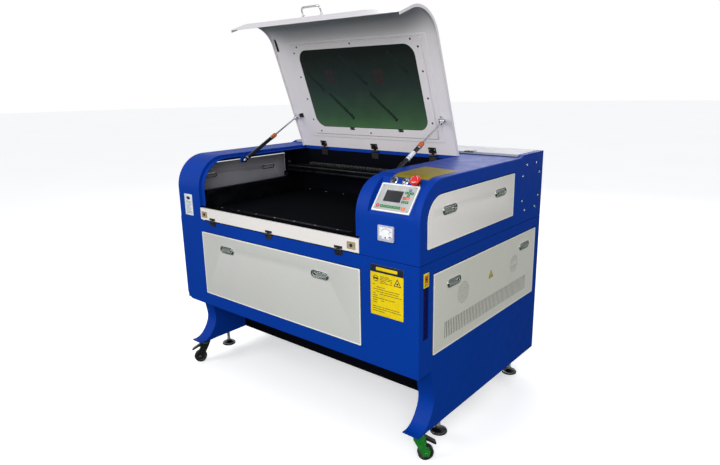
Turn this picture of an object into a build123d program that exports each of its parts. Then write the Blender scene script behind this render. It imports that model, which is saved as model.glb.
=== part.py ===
from build123d import *
import math
import os

os.makedirs("parts", exist_ok=True)

# ---------------------------------------------------------------------------
# Cabinet laser cutter. Millimetres, +Z up, front faces -Y, left is -X.
# Positions below are given from the cabinet's left side (X), from its front
# face (Y) and from the floor (Z); X() and Y() turn them into the model frame.
# ---------------------------------------------------------------------------
WIDTH = 1400.0          # cabinet, outside
DEPTH = 990.0
TOP = 1075.0            # flat top of the consoles
FRONT_Y = -515.5        # front face in the model frame
T = 3.0                 # sheet thickness
R_NOSE = 150.0          # rounded upper front of consoles and lid
Z_NOSE = TOP - R_NOSE
LEG_BOTTOM = 125.0
BODY_BOTTOM = 365.0
SEAM = 786.0            # lower housing to upper housing
LEG_W = 70.0
LEFT_IN = 167.0         # inner edge of the left console
RIGHT_IN = 1137.0       # inner edge of the right console
DECK_Y = 777.0          # front edge of the tube compartment
STEP = 13.0             # lid ledge below the console surface

# lid
OPEN = 70.0             # opening angle at rest
HINGE_Y, HINGE_Z = 694.0, 1067.0
SKIN = 2.5
RETURN = 12.0
LID_X0, LID_X1 = 168.0, 1136.0
LIP_END = 846.0
WIN_X0, WIN_X1, WIN_A0, WIN_A1, WIN_R = 326.0, 1010.0, 122.0, 516.0, 55.0
HINGE_XS = (321.0, 661.0, 1000.0)
FLAP_HINGE_XS = (255.0, 641.0, 1033.0)

# gas struts
STRUT_X = (201.0, 1099.0)
STUD_A, STUD_H = 179.0, 16.0
BASE_Y, BASE_Z = 252.0, 1040.0

# doors: two edges along the wall, two in height
GAP = 3.0
FD = (167.0, 1137.0, 423.0, 729.0)      # front door
UD = (48.0, 701.0, 836.0, 1018.0)       # upper side doors
LD = (91.0, 943.0, 426.0, 737.0)        # lower side doors
R_UD = 90.0
LATCH_L, LATCH_W = 86.0, 22.0

# control facet
FACET_Z0, FACET_DEG = 945.0, 51.0
FACET_X0, FACET_X1 = 1176.0, 1376.0

# casters
WHEEL_R = 31.0
TRAIL = 30.0
CASTER_Y = (50.0, 940.0)
REAR_CASTER_IN = 160.0      # rear casters sit inboard on an outrigger channel
FOOT_Z = 45.0               # underside of the levelling feet when raised
FOOT_Y = (197.0, 819.0)


def X(v):
    return v - WIDTH / 2


def Y(v):
    return v + FRONT_Y


def block(xa, xb, ya, yb, za, zb, mode=Mode.ADD):
    """Box between two corners, in cabinet positions."""
    with Locations((X((xa + xb) / 2), Y((ya + yb) / 2), (za + zb) / 2)):
        Box(xb - xa, yb - ya, zb - za, mode=mode)


def nose(xa, xb, inset, zb, yr, mode=Mode.ADD):
    """Side profile of the upper cabinet, inset by a depth, run from xa to xb."""
    r = R_NOSE - inset
    with BuildSketch(Plane.YZ.offset(X(xa))) as sk:
        with BuildLine():
            Polyline((Y(R_NOSE), Z_NOSE + r), (Y(yr), Z_NOSE + r), (Y(yr), zb),
                     (Y(inset), zb), (Y(inset), Z_NOSE))
            CenterArc((Y(R_NOSE), Z_NOSE), r, 90, 90)
        make_face()
    extrude(sk.sketch, amount=xb - xa, mode=mode)


def yz_prism(points, xa, xb, mode=Mode.ADD):
    """Polygon in cabinet (Y, Z) positions, run from xa to xb."""
    with BuildSketch(Plane.YZ.offset(X(xa))) as sk:
        with BuildLine():
            Polyline(*[(Y(a), b) for a, b in points], close=True)
        make_face()
    extrude(sk.sketch, amount=xb - xa, mode=mode)


def x_cylinder(r, xa, xb, y, z, mode=Mode.ADD):
    with BuildSketch(Plane.YZ.offset(X(xa))) as sk:
        with Locations((Y(y), z)):
            Circle(r)
    extrude(sk.sketch, amount=xb - xa, mode=mode)


def door_sketch(plane, a0, a1, z0, z1, grow, r):
    """Upper side door outline: only the upper front corner is rounded."""
    with BuildSketch(plane) as sk:
        with BuildLine():
            Polyline((Y(a0) - grow, z1 - r), (Y(a0) - grow, z0 - grow),
                     (Y(a1) + grow, z0 - grow), (Y(a1) + grow, z1 + grow),
                     (Y(a0 + r), z1 + grow))
            CenterArc((Y(a0 + r), z1 - r), r + grow, 90, 90)
        make_face()
    return sk.sketch


# ---------------------------------------------------------------------------
# Legs and base
# ---------------------------------------------------------------------------
LEG_CURVE = [(80, 365), (89, 320), (98, 275), (103, 228), (92, 192), (74, 164), (47, 139), (0, 131)]


def leg(xa):
    """Side skirt and foot, a sheet box open on top, with caster pins below."""
    with BuildSketch(Plane.YZ.offset(X(xa))) as outer:
        with BuildLine():
            Spline(*[(Y(a), b) for a, b in LEG_CURVE])
            Polyline((Y(0), 131), (Y(0), LEG_BOTTOM), (Y(DEPTH), LEG_BOTTOM),
                     (Y(DEPTH), BODY_BOTTOM), (Y(80), BODY_BOTTOM))
        make_face()
    extrude(outer.sketch, amount=LEG_W)
    with BuildSketch(Plane.YZ.offset(X(xa + T))) as inner:
        with BuildLine():
            Spline(*[(Y(a + 4.0), b) for a, b in LEG_CURVE[:-2]] + [(Y(58), LEG_BOTTOM + 22)])
            Polyline((Y(58), LEG_BOTTOM + 22), (Y(58), LEG_BOTTOM + T), (Y(DEPTH - T), LEG_BOTTOM + T),
                     (Y(DEPTH - T), BODY_BOTTOM), (Y(84), BODY_BOTTOM))
        make_face()
    extrude(inner.sketch, amount=LEG_W - 2 * T, mode=Mode.SUBTRACT)
    xc = xa + LEG_W / 2
    for yc in FOOT_Y:
        with Locations((X(xc), Y(yc), LEG_BOTTOM)):
            Cylinder(7.06, 4 * T, mode=Mode.SUBTRACT)
    left_side = xa < WIDTH / 2
    rear_x = REAR_CASTER_IN if left_side else WIDTH - REAR_CASTER_IN
    block(xc - 30, xc + 30, CASTER_Y[0] - 28, CASTER_Y[0] + 28, 121, LEG_BOTTOM)
    xi, xo = (xa + 5, rear_x + 32) if left_side else (rear_x - 32, xa + LEG_W - 5)
    block(xi, xo, CASTER_Y[1] - 28, CASTER_Y[1] + 28, 121, LEG_BOTTOM)
    ui, uo = (xa + LEG_W - 1, xo) if left_side else (xi, xa + 1)
    for ya in (CASTER_Y[1] - 28, CASTER_Y[1] + 25):
        block(ui, uo, ya, ya + 3, LEG_BOTTOM, 165)
    for cx, yc in ((xc, CASTER_Y[0]), (rear_x, CASTER_Y[1])):
        with Locations((X(cx), Y(yc), 110.5)):
            Cylinder(6.0, 21.0)


with BuildPart() as left_leg:
    leg(0)

with BuildPart() as right_leg:
    leg(WIDTH - LEG_W)

with BuildPart() as cross_panel:
    block(LEG_W, WIDTH - LEG_W, 289, 292, LEG_BOTTOM, BODY_BOTTOM - T)

with BuildPart() as cabinet_floor:
    block(LEG_W, WIDTH - LEG_W, T, DEPTH - T, BODY_BOTTOM - T, BODY_BOTTOM)
    block(T, LEG_W, 88, DEPTH - T, BODY_BOTTOM, BODY_BOTTOM + T)
    block(WIDTH - LEG_W, WIDTH - T, 88, DEPTH - T, BODY_BOTTOM, BODY_BOTTOM + T)
    block(LEG_W, LEG_W + T, 88, DEPTH - T, BODY_BOTTOM - T, BODY_BOTTOM + T)
    block(WIDTH - LEG_W - T, WIDTH - LEG_W, 88, DEPTH - T, BODY_BOTTOM - T, BODY_BOTTOM + T)

# ---------------------------------------------------------------------------
# Lower housing
# ---------------------------------------------------------------------------
with BuildPart() as lower_front_frame:
    block(0, WIDTH, 0, T, BODY_BOTTOM - T, SEAM - 1)
    with BuildSketch(Plane.XZ.offset(-Y(0))) as corner:
        with BuildLine():
            Polyline((X(0), BODY_BOTTOM + 37), (X(0) - 5, BODY_BOTTOM + 37), (X(0) - 5, BODY_BOTTOM - 8),
                     (X(40), BODY_BOTTOM - 8), (X(40), BODY_BOTTOM - T))
            RadiusArc((X(40), BODY_BOTTOM - T), (X(0), BODY_BOTTOM + 37), 40)
        make_face()
    extrude(corner.sketch, amount=-T, mode=Mode.SUBTRACT)
    block(FD[0] - GAP, FD[1] + GAP, 0, T, FD[2] - GAP, FD[3] + GAP, mode=Mode.SUBTRACT)
    fillet(lower_front_frame.edges().filter_by(Axis.Z).group_by(Axis.X)[-1].group_by(Axis.Y)[0], 2.5)


def lower_side(xa, slot):
    block(xa, xa + T, T, DEPTH, BODY_BOTTOM, SEAM - 1)
    block(xa, xa + T, LD[0] - GAP, LD[1] + GAP, LD[2] - GAP, LD[3] + GAP, mode=Mode.SUBTRACT)
    if slot:
        block(xa, xa + T, 26, 62, 505, 700, mode=Mode.SUBTRACT)


with BuildPart() as lower_left_side:
    lower_side(0, False)

with BuildPart() as lower_right_side:
    lower_side(WIDTH - T, True)

with BuildPart() as back_panel:
    block(T, WIDTH - T, DEPTH - T, DEPTH, BODY_BOTTOM + T, 1071)
    with BuildSketch(Plane.XZ.offset(-Y(DEPTH - T))) as duct:
        with Locations((0, 600)):
            Circle(75)
    extrude(duct.sketch, amount=-(T + 50))
    with BuildSketch(Plane.XZ.offset(-Y(DEPTH - T))) as duct_bore:
        with Locations((0, 600)):
            Circle(72)
    extrude(duct_bore.sketch, amount=-(T + 50), mode=Mode.SUBTRACT)

with BuildPart() as power_inlet:
    block(1180, 1240, DEPTH, DEPTH + 8, 440, 520)
    block(1192, 1228, DEPTH + 2, DEPTH + 8, 450, 478, mode=Mode.SUBTRACT)
    block(1196, 1224, DEPTH + 5, DEPTH + 8, 488, 510, mode=Mode.SUBTRACT)

# ---------------------------------------------------------------------------
# Upper consoles
# ---------------------------------------------------------------------------
fs, fc = math.sin(math.radians(FACET_DEG)), math.cos(math.radians(FACET_DEG))
facet_plane = Plane(origin=(X(0), Y(0), FACET_Z0), x_dir=(1, 0, 0), z_dir=(0, -fs, fc))


def facet_side(back, far, reach=60.0):
    """Corners of the band outside the facet line, 'back' mm behind it."""
    a = (-reach * fc + back * fs, FACET_Z0 - reach * fs - back * fc)
    b = ((155 + reach) * fc + back * fs, FACET_Z0 + (155 + reach) * fs - back * fc)
    return [a, b, (b[0] - far * fs, b[1] + far * fc), (a[0] - far * fs, a[1] + far * fc)]


with BuildPart() as right_console:
    nose(RIGHT_IN, WIDTH, 0, SEAM + 1, DEPTH)
    side = right_console.faces().sort_by(Axis.X)[-1]
    rounded = [e for e in side.edges() if e.center().Z > SEAM + 5 and e.center().Y < Y(DEPTH - 5)]
    fillet(rounded, 5.0)
    nose(RIGHT_IN - 5, WIDTH - T, T, SEAM - 10, DEPTH + 5, mode=Mode.SUBTRACT)
    block(RIGHT_IN - 5, 1377, DECK_Y, DEPTH + 5, 1060, 1080, mode=Mode.SUBTRACT)
    # pocket walls of the control facet
    with BuildSketch(Plane.YZ.offset(X(FACET_X0 - T))) as wedge:
        with BuildLine():
            Polyline((Y(R_NOSE), TOP), (Y(300), TOP), (Y(300), 850), (Y(0), 850), (Y(0), Z_NOSE))
            CenterArc((Y(R_NOSE), Z_NOSE), R_NOSE, 90, 90)
        make_face()
        with BuildLine():
            Polyline(*[(Y(a), b) for a, b in facet_side(T, 120)], close=True)
        make_face(mode=Mode.INTERSECT)
    extrude(wedge.sketch, amount=FACET_X1 - FACET_X0 + 2 * T)
    yz_prism(facet_side(0, 120), FACET_X0, FACET_X1, mode=Mode.SUBTRACT)
    # raised end cap beside the tube cover
    yz_prism([(765, 1072), (765, 1075), (795, 1085), (990, 1085), (990, 1072)], 1377, WIDTH)
    extrude(door_sketch(Plane.YZ.offset(X(WIDTH - T - 1)), *UD, GAP, R_UD), amount=T + 3, mode=Mode.SUBTRACT)

with BuildPart() as left_console:
    nose(0, LEFT_IN, 0, SEAM - 1, DEPTH)
    side = left_console.faces().sort_by(Axis.X)[0]
    rounded = [e for e in side.edges() if e.center().Z > SEAM + 5 and e.center().Y < Y(DEPTH - 5)]
    fillet(rounded, 5.0)
    nose(T, LEFT_IN + 5, T, SEAM - 10, DEPTH + 5, mode=Mode.SUBTRACT)
    block(23, LEFT_IN + 5, DECK_Y, DEPTH + 5, 1060, 1080, mode=Mode.SUBTRACT)
    yz_prism([(765, 1072), (765, 1075), (795, 1085), (990, 1085), (990, 1072)], 0, 23)
    extrude(door_sketch(Plane.YZ.offset(X(-2)), *UD, GAP, R_UD), amount=T + 3, mode=Mode.SUBTRACT)

with BuildPart() as lid_ledges:
    # left: riser, ledge and strut bracket with its pin
    nose(LEFT_IN - T, LEFT_IN, T, 850, 697)
    nose(LEFT_IN - T - 1, LEFT_IN + 1, STEP + T, 840, 720, mode=Mode.SUBTRACT)
    nose(LEFT_IN, 190, STEP, 850, 697)
    nose(LEFT_IN - 1, 191, STEP + T, 840, 720, mode=Mode.SUBTRACT)
    block(187, 190, BASE_Y - 14, BASE_Y + 14, BASE_Z - 12, TOP - STEP - T)
    x_cylinder(4.0, 190, 210, BASE_Y, BASE_Z)
    # right
    nose(RIGHT_IN, RIGHT_IN + T, T, 850, 697)
    nose(RIGHT_IN - 1, RIGHT_IN + T + 1, STEP + T, 840, 720, mode=Mode.SUBTRACT)
    nose(1110, RIGHT_IN, STEP, 850, 697)
    nose(1109, RIGHT_IN + 1, STEP + T, 840, 720, mode=Mode.SUBTRACT)
    block(1110, 1113, BASE_Y - 14, BASE_Y + 14, BASE_Z - 12, TOP - STEP - T)
    x_cylinder(4.0, 1090, 1110, BASE_Y, BASE_Z)

with BuildPart() as rear_deck:
    block(LEFT_IN, RIGHT_IN, 705, DECK_Y, TOP - T, TOP)
    block(LEFT_IN, RIGHT_IN, 705, 708, 1040, TOP - T)

# ---------------------------------------------------------------------------
# Chamber walls and internals
# ---------------------------------------------------------------------------
with BuildPart() as rear_bulkhead:
    block(T, WIDTH - T, 699, 702, BODY_BOTTOM + T, 1056)
    block(T, WIDTH - T, 702, DEPTH - T, 850, 853)
    block(400, 1000, 699, 702, 600, 760, mode=Mode.SUBTRACT)
    for xs in (240, 1130):
        block(xs, xs + 20, 850, 910, 853, 929.5)

with BuildPart() as left_partition:
    block(190, 193, T, 699, BODY_BOTTOM, 797)
    block(T, 193, T, 699, 797, 800)

with BuildPart() as right_partition:
    nose(1113, 1116, STEP + T + 1, BODY_BOTTOM, 698.5)

with BuildPart() as laser_tube:
    with BuildSketch(Plane.YZ.offset(X(120))) as ring:
        with Locations((Y(880), 960)):
            Circle(30)
            Circle(27, mode=Mode.SUBTRACT)
    extrude(ring.sketch, amount=1160)

with BuildPart() as y_rails:
    block(150, 170, 40, 690, 900, 920)
    block(150, 154, 40, 690, 800, 900)
    block(1093, 1113, 40, 690, 900, 920)
    block(1109, 1113, 40, 690, 800, 900)

with BuildPart() as lift_posts:
    for px in (235, 1065):
        for py in (65, 625):
            with Locations((X(px), Y(py), (BODY_BOTTOM + 840) / 2)):
                Cylinder(8.0, 840 - BODY_BOTTOM)

with BuildPart() as work_bed:
    block(215, 1085, 45, 645, 825, 845)
    block(235, 1065, 65, 625, 825, 837, mode=Mode.SUBTRACT)
    for px in (235, 1065):
        for py in (65, 625):
            block(px - 20, px + 20, py - 20, py + 20, 825, 845)
            with Locations((X(px), Y(py), 835)):
                Cylinder(8.6, 24, mode=Mode.SUBTRACT)

with BuildPart() as gantry:
    block(145, 1109, 585, 615, 945, 985)
    block(140, 1112, 588, 612, 948, 982, mode=Mode.SUBTRACT)
    block(145, 177, 560, 640, 921, 945)
    block(1086, 1109, 560, 640, 921, 945)
    block(148, 176, 590, 610, 985, 1015)

with BuildPart() as laser_head:
    block(1000, 1060, 545, 583, 930, 1005)
    with Locations((X(1030), Y(564), 895)):
        Cylinder(13, 70)
    with Locations((X(1030), Y(564), 857)):
        Cone(4, 9, 6)

# ---------------------------------------------------------------------------
# Lid
# ---------------------------------------------------------------------------
ct, st = math.cos(math.radians(OPEN)), math.sin(math.radians(OPEN))
A_FLAT = HINGE_Y - R_NOSE       # nose centre, along the lid from the hinge
B_TOP = TOP - HINGE_Z


def lid_side_plane(xb):
    """Local x runs from the hinge along the lid, local y out of its top."""
    return Plane(origin=(X(xb), Y(HINGE_Y), HINGE_Z), x_dir=(0, -ct, st), z_dir=(-1, 0, 0))


# local x is the cabinet's X, local y runs along the lid; offset goes inwards
lid_inner_plane = Plane(origin=(X(0), Y(HINGE_Y), HINGE_Z), x_dir=(1, 0, 0), z_dir=(0, -st, -ct))


def lid_band(xa, xb, depth, mode=Mode.ADD, start=4.0):
    """Strip along the lid's outer surface, 'depth' thick, from xa to xb."""
    ro, ri = R_NOSE, R_NOSE - depth
    bc = B_TOP - R_NOSE
    end = LIP_END - HINGE_Z
    with BuildSketch(lid_side_plane(xb)) as sk:
        with BuildLine():
            Line((start, B_TOP), (A_FLAT, B_TOP))
            CenterArc((A_FLAT, bc), ro, 0, 90)
            Polyline((A_FLAT + ro, bc), (A_FLAT + ro, end), (A_FLAT + ri, end), (A_FLAT + ri, bc))
            CenterArc((A_FLAT, bc), ri, 0, 90)
            Polyline((A_FLAT, B_TOP - depth), (start, B_TOP - depth), (start, B_TOP))
        make_face()
    extrude(sk.sketch, amount=xb - xa, mode=mode)


def lid_plate(xa, xb, a0, a1, h0, h1, r=0.0, mode=Mode.ADD):
    """Plate parallel to the lid, h measured inwards from the hinge axis."""
    with BuildSketch(lid_inner_plane.offset(h0)) as sk:
        with Locations(((xa + xb) / 2, (a0 + a1) / 2)):
            if r:
                RectangleRounded(xb - xa, a1 - a0, r)
            else:
                Rectangle(xb - xa, a1 - a0)
    extrude(sk.sketch, amount=h1 - h0, mode=mode)


H_OUT, H_IN = -B_TOP, -B_TOP + SKIN

with BuildPart() as lid_shell:
    lid_band(LID_X0, LID_X1, SKIN)
    lid_band(LID_X0, LID_X0 + SKIN, RETURN)
    lid_band(LID_X1 - SKIN, LID_X1, RETURN)
    lid_plate(WIN_X0, WIN_X1, WIN_A0, WIN_A1, H_OUT - 1, H_IN + 1, WIN_R, mode=Mode.SUBTRACT)

with BuildPart() as window_pane:
    lid_plate(WIN_X0 - 20, WIN_X1 + 20, WIN_A0 - 20, WIN_A1 + 20, H_IN, H_IN + 3, WIN_R + 20)

with BuildPart() as window_frame:
    lid_plate(WIN_X0 - 38, WIN_X1 + 38, WIN_A0 - 38, A_FLAT - 1, H_IN, H_IN + 7, 12)
    lid_plate(WIN_X0 - 20.5, WIN_X1 + 20.5, WIN_A0 - 20.5, WIN_A1 + 20.5, H_IN, H_IN + 3, WIN_R + 20.5, mode=Mode.SUBTRACT)
    lid_plate(WIN_X0, WIN_X1, WIN_A0, WIN_A1, H_IN - 1, H_IN + 8, WIN_R, mode=Mode.SUBTRACT)

HANDLE_X, HANDLE_L, HANDLE_A, HANDLE_B = 601.0, 110.0, 692.2, -112.0
with BuildPart() as lid_handle:
    # bow handle standing out of the lip
    handle_plane = Plane(origin=(X(HANDLE_X), Y(HINGE_Y) - ct * HANDLE_A + st * HANDLE_B,
                                 HINGE_Z + st * HANDLE_A + ct * HANDLE_B),
                         x_dir=(1, 0, 0), z_dir=(0, st, ct))
    with BuildLine(handle_plane) as bow:
        FilletPolyline((-HANDLE_L / 2, 0), (-HANDLE_L / 2, -38), (HANDLE_L / 2, -38), (HANDLE_L / 2, 0), radius=14)
    with BuildSketch(Plane(origin=bow.line @ 0, z_dir=bow.line % 0)) as bar:
        Circle(4.5)
    sweep(bar.sketch, path=bow.line)


# butt hinge: two outer knuckles with the pin on one leaf, the middle one on the other
KN = 4.5


def knuckles(axis_y, axis_z, xc, outer, r=KN, pin=2.0):
    if outer:
        x_cylinder(r, xc - 20, xc - 8, axis_y, axis_z)
        x_cylinder(r, xc + 8, xc + 20, axis_y, axis_z)
        x_cylinder(pin, xc - 20, xc + 20, axis_y, axis_z)
    else:
        x_cylinder(r, xc - 7.5, xc + 7.5, axis_y, axis_z)


with BuildPart() as hinge_bases:
    for hx in HINGE_XS:
        knuckles(HINGE_Y, HINGE_Z, hx, True)
        block(hx - 20, hx + 20, 697, 699, 1030, 1058)
        block(hx - 20, hx - 8, 696.5, 699, 1058, HINGE_Z)
        block(hx + 8, hx + 20, 696.5, 699, 1058, HINGE_Z)
    for hx in FLAP_HINGE_XS:
        knuckles(-4.5, 788, hx, True, r=3.5)
        block(hx - 20, hx + 20, -2, 0, 766, 783)
        block(hx - 20, hx - 8, -2, 0, 783, SEAM - 1)
        block(hx + 8, hx + 20, -2, 0, 783, SEAM - 1)
        block(hx - 20, hx - 8, -4, -1, 783, 787)
        block(hx + 8, hx + 20, -4, -1, 783, 787)

with BuildPart() as lid_hinge_leaves:
    for hx in HINGE_XS:
        lid_plate(hx - 20, hx + 20, 9, 38, H_IN, H_IN + 2)
        lid_plate(hx - 7.5, hx + 7.5, -2, 12, H_IN, H_IN + 2.5)
        knuckles(HINGE_Y, HINGE_Z, hx, False)
        x_cylinder(2.05, hx - 8, hx + 8, HINGE_Y, HINGE_Z, mode=Mode.SUBTRACT)

with BuildPart() as strut_studs:
    # brackets under the lid; each pin stops 1 mm short of the rod's eye
    for xs, side in ((STRUT_X[0], 1), (STRUT_X[1], -1)):
        xa, xb = (xs + 13, xs + 16) if side > 0 else (xs - 16, xs - 13)
        lid_plate(xa, xb, STUD_A - 12, STUD_A + 12, H_IN, STUD_H + 8)
        la, lb = (xb, xb + 16) if side > 0 else (xa - 16, xa)
        lid_plate(la, lb, STUD_A - 12, STUD_A + 12, H_IN, H_IN + 2)
        pa, pb = (xs + 9, xs + 13) if side > 0 else (xs - 13, xs - 9)
        sy = HINGE_Y - STUD_A * ct - STUD_H * st
        sz = HINGE_Z + STUD_A * st - STUD_H * ct
        x_cylinder(4.0, pa, pb, sy, sz)

# ---------------------------------------------------------------------------
# Gas struts
# ---------------------------------------------------------------------------
STUD_Y = HINGE_Y - STUD_A * ct - STUD_H * st
STUD_Z = HINGE_Z + STUD_A * st - STUD_H * ct
L_OPEN = math.hypot(STUD_Y - BASE_Y, STUD_Z - BASE_Z)
L_SHUT = math.hypot(HINGE_Y - STUD_A - BASE_Y, HINGE_Z - STUD_H - BASE_Z)
PHI_OPEN = math.atan2(STUD_Z - BASE_Z, STUD_Y - BASE_Y)
PHI_SHUT = math.atan2(HINGE_Z - STUD_H - BASE_Z, HINGE_Y - STUD_A - BASE_Y)
print("strut", L_OPEN, L_SHUT, math.degrees(PHI_OPEN), math.degrees(PHI_SHUT))
TUBE_END = 236.0
ud, wd = math.cos(PHI_OPEN), math.sin(PHI_OPEN)


def strut_cyl(xs, ra, rb, s0, s1, mode=Mode.ADD):
    """Cylinder on the strut's axis, between two distances from its lower pivot."""
    pl = Plane(origin=(X(xs), Y(BASE_Y) + ud * s0, BASE_Z + wd * s0), x_dir=(1, 0, 0), z_dir=(0, ud, wd))
    with BuildSketch(pl) as sk:
        Circle(ra)
        if rb:
            Circle(rb, mode=Mode.SUBTRACT)
    extrude(sk.sketch, amount=s1 - s0, mode=mode)


def strut_tube(xs):
    strut_cyl(xs, 9.0, 0, 14, TUBE_END)
    strut_cyl(xs, 5.5, 0, 12, TUBE_END - 8, mode=Mode.SUBTRACT)
    strut_cyl(xs, 4.05, 0, TUBE_END - 10, TUBE_END + 2, mode=Mode.SUBTRACT)
    strut_cyl(xs, 6.0, 0, 4, 20)
    x_cylinder(8.0, xs - 8, xs + 8, BASE_Y, BASE_Z)
    x_cylinder(4.06, xs - 9, xs + 9, BASE_Y, BASE_Z, mode=Mode.SUBTRACT)


def strut_rod(xs):
    strut_cyl(xs, 4.0, 0, 178, L_OPEN - 2)
    x_cylinder(8.0, xs - 7, xs + 8, STUD_Y, STUD_Z)
    x_cylinder(4.5, xs - 9, xs + 9, STUD_Y, STUD_Z, mode=Mode.SUBTRACT)
    strut_cyl(xs, 6.5, 0, L_OPEN - 22, L_OPEN - 6)


with BuildPart() as left_strut_tube:
    strut_tube(STRUT_X[0])
with BuildPart() as left_strut_rod:
    strut_rod(STRUT_X[0])
with BuildPart() as right_strut_tube:
    strut_tube(STRUT_X[1])
with BuildPart() as right_strut_rod:
    strut_rod(STRUT_X[1])

# ---------------------------------------------------------------------------
# Front flap
# ---------------------------------------------------------------------------
with BuildPart() as front_flap:
    block(168, 1134, -1, 2, 790, 844)
    block(168, 1134, 2, 8, 841, 844)

with BuildPart() as flap_hinge_leaves:
    for hx in FLAP_HINGE_XS:
        block(hx - 20, hx + 20, -3, -1, 793, 803)
        block(hx - 7.5, hx + 7.5, -3, -1, 790.5, 794)
        block(hx - 7.5, hx + 7.5, -5, -1.7, 790.5, 792)
        knuckles(-4.5, 788, hx, False, r=3.5)
        x_cylinder(2.05, hx - 8, hx + 8, -4.5, 788, mode=Mode.SUBTRACT)


# ---------------------------------------------------------------------------
# Doors and their push latches
# ---------------------------------------------------------------------------
def slot_xz(xc, zc, length, width, ya, yb, mode=Mode.ADD):
    with BuildSketch(Plane.XZ.offset(-Y(ya))) as sk:
        with Locations((X(xc), zc)):
            SlotOverall(length, width)
    extrude(sk.sketch, amount=-(yb - ya), mode=mode)


def slot_yz(yc, zc, length, width, xa, xb, mode=Mode.ADD):
    with BuildSketch(Plane.YZ.offset(X(xa))) as sk:
        with Locations((Y(yc), zc)):
            SlotOverall(length, width)
    extrude(sk.sketch, amount=xb - xa, mode=mode)


FRONT_LATCHES = ((350.5, 667.0), (932.5, 667.0))
UPPER_LATCHES = ((186.0, 957.0), (575.0, 957.0))
LOWER_LATCHES = ((226.0, 676.0), (826.0, 678.0))

with BuildPart() as front_door:
    block(FD[0], FD[1], -2, 1, FD[2], FD[3])
    for a, z in FRONT_LATCHES:
        slot_xz(a, z, LATCH_L + 1.4, LATCH_W + 1.4, -4, 3, mode=Mode.SUBTRACT)

with BuildPart() as front_door_latches:
    for a, z in FRONT_LATCHES:
        slot_xz(a, z, LATCH_L, LATCH_W, -6, 4)


def side_doors(xa, xb):
    """Outline builders for the two doors of one side, between xa and xb."""
    def upper():
        extrude(door_sketch(Plane.YZ.offset(X(xa)), *UD, 0, R_UD), amount=xb - xa)
        for a, z in UPPER_LATCHES:
            slot_yz(a, z, LATCH_L + 1.4, LATCH_W + 1.4, xa - 1, xb + 1, mode=Mode.SUBTRACT)

    def lower():
        block(xa, xb, LD[0], LD[1], LD[2], LD[3])
        for a, z in LOWER_LATCHES:
            slot_yz(a, z, LATCH_L + 1.4, LATCH_W + 1.4, xa - 1, xb + 1, mode=Mode.SUBTRACT)
        # cooling slots, low on the door
        for i in range(24):
            ya = 170 + i * 29.5
            block(xa - 1, xb + 1, ya, ya + 12, 464, 532, mode=Mode.SUBTRACT)
    return upper, lower


right_upper, right_lower = side_doors(1399, 1402)
left_upper, left_lower = side_doors(-2, 1)

with BuildPart() as right_upper_door:
    right_upper()
with BuildPart() as right_lower_door:
    right_lower()
with BuildPart() as left_upper_door:
    left_upper()
with BuildPart() as left_lower_door:
    left_lower()

with BuildPart() as right_upper_latches:
    for a, z in UPPER_LATCHES:
        slot_yz(a, z, LATCH_L, LATCH_W, 1396, 1406)
with BuildPart() as right_lower_latches:
    for a, z in LOWER_LATCHES:
        slot_yz(a, z, LATCH_L, LATCH_W, 1396, 1406)
with BuildPart() as left_upper_latches:
    for a, z in UPPER_LATCHES:
        slot_yz(a, z, LATCH_L, LATCH_W, -6, 4)
with BuildPart() as left_lower_latches:
    for a, z in LOWER_LATCHES:
        slot_yz(a, z, LATCH_L, LATCH_W, -6, 4)

with BuildPart() as tube_lid:
    block(24, 1376, 779, 986, 1083, 1086)
    block(24, 1376, 779, 782, 1076.5, 1083)
    block(24, 27, 782, 986, 1076.5, 1083)
    block(1373, 1376, 782, 986, 1076.5, 1083)
    block(27, 1373, 983, 986, 1076.5, 1083)

# ---------------------------------------------------------------------------
# Controls
# ---------------------------------------------------------------------------
with BuildPart() as control_panel:
    with BuildSketch(facet_plane) as bezel:
        with Locations((1269, 72)):
            RectangleRounded(162, 112, 3)
    extrude(bezel.sketch, amount=4)
    with BuildSketch(facet_plane.offset(2.5)) as glass:
        with Locations((1257.5, 78.5)):
            Rectangle(74, 46)
    extrude(glass.sketch, amount=2, mode=Mode.SUBTRACT)

with BuildPart() as ammeter:
    block(1227, 1296, -8, 0, 856, 913)
    block(1233, 1290, -8, -6, 880, 907, mode=Mode.SUBTRACT)
    fillet(ammeter.edges().filter_by(Axis.Y).group_by(Axis.Z)[-1], 3)


def facet_cyl(xc, s, r, h0, h1, mode=Mode.ADD):
    with BuildSketch(facet_plane.offset(h0)) as sk:
        with Locations((xc, s)):
            Circle(r)
    extrude(sk.sketch, amount=h1 - h0, mode=mode)


BTN_S = 142.0
with BuildPart() as estop_button:
    facet_cyl(1330, BTN_S, 9, 5, 16)
    facet_cyl(1330, BTN_S, 20, 16, 28)
    fillet(estop_button.edges().group_by(SortBy.LENGTH)[-1], 3.5)

with BuildPart() as start_button:
    facet_cyl(1230, BTN_S, 10, 4, 13)

with BuildPart() as key_switch:
    facet_cyl(1280, BTN_S, 8.5, 1, 10)
    with BuildSketch(facet_plane.offset(10)) as blade:
        with Locations((1280, BTN_S)):
            SlotOverall(20, 2.6, rotation=90)
    extrude(blade.sketch, amount=16)


# ---------------------------------------------------------------------------
# Levelling feet and casters
# ---------------------------------------------------------------------------
with BuildPart() as levelling_feet:
    for fx in (LEG_W / 2, WIDTH - LEG_W / 2):
        for fy in FOOT_Y:
            with Locations((X(fx), Y(fy), FOOT_Z + 5)):
                Cylinder(34, 10)
            with Locations((X(fx), Y(fy), FOOT_Z + 15)):
                Cone(24, 11, 10)
            with Locations((X(fx), Y(fy), FOOT_Z + 87)):
                Cylinder(7, 136)


def caster_plane(xc, yc, ang, z=0.0):
    a = math.radians(ang)
    return Plane(origin=(X(xc), Y(yc), z), x_dir=(math.cos(a), math.sin(a), 0), z_dir=(0, 0, 1))


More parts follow.
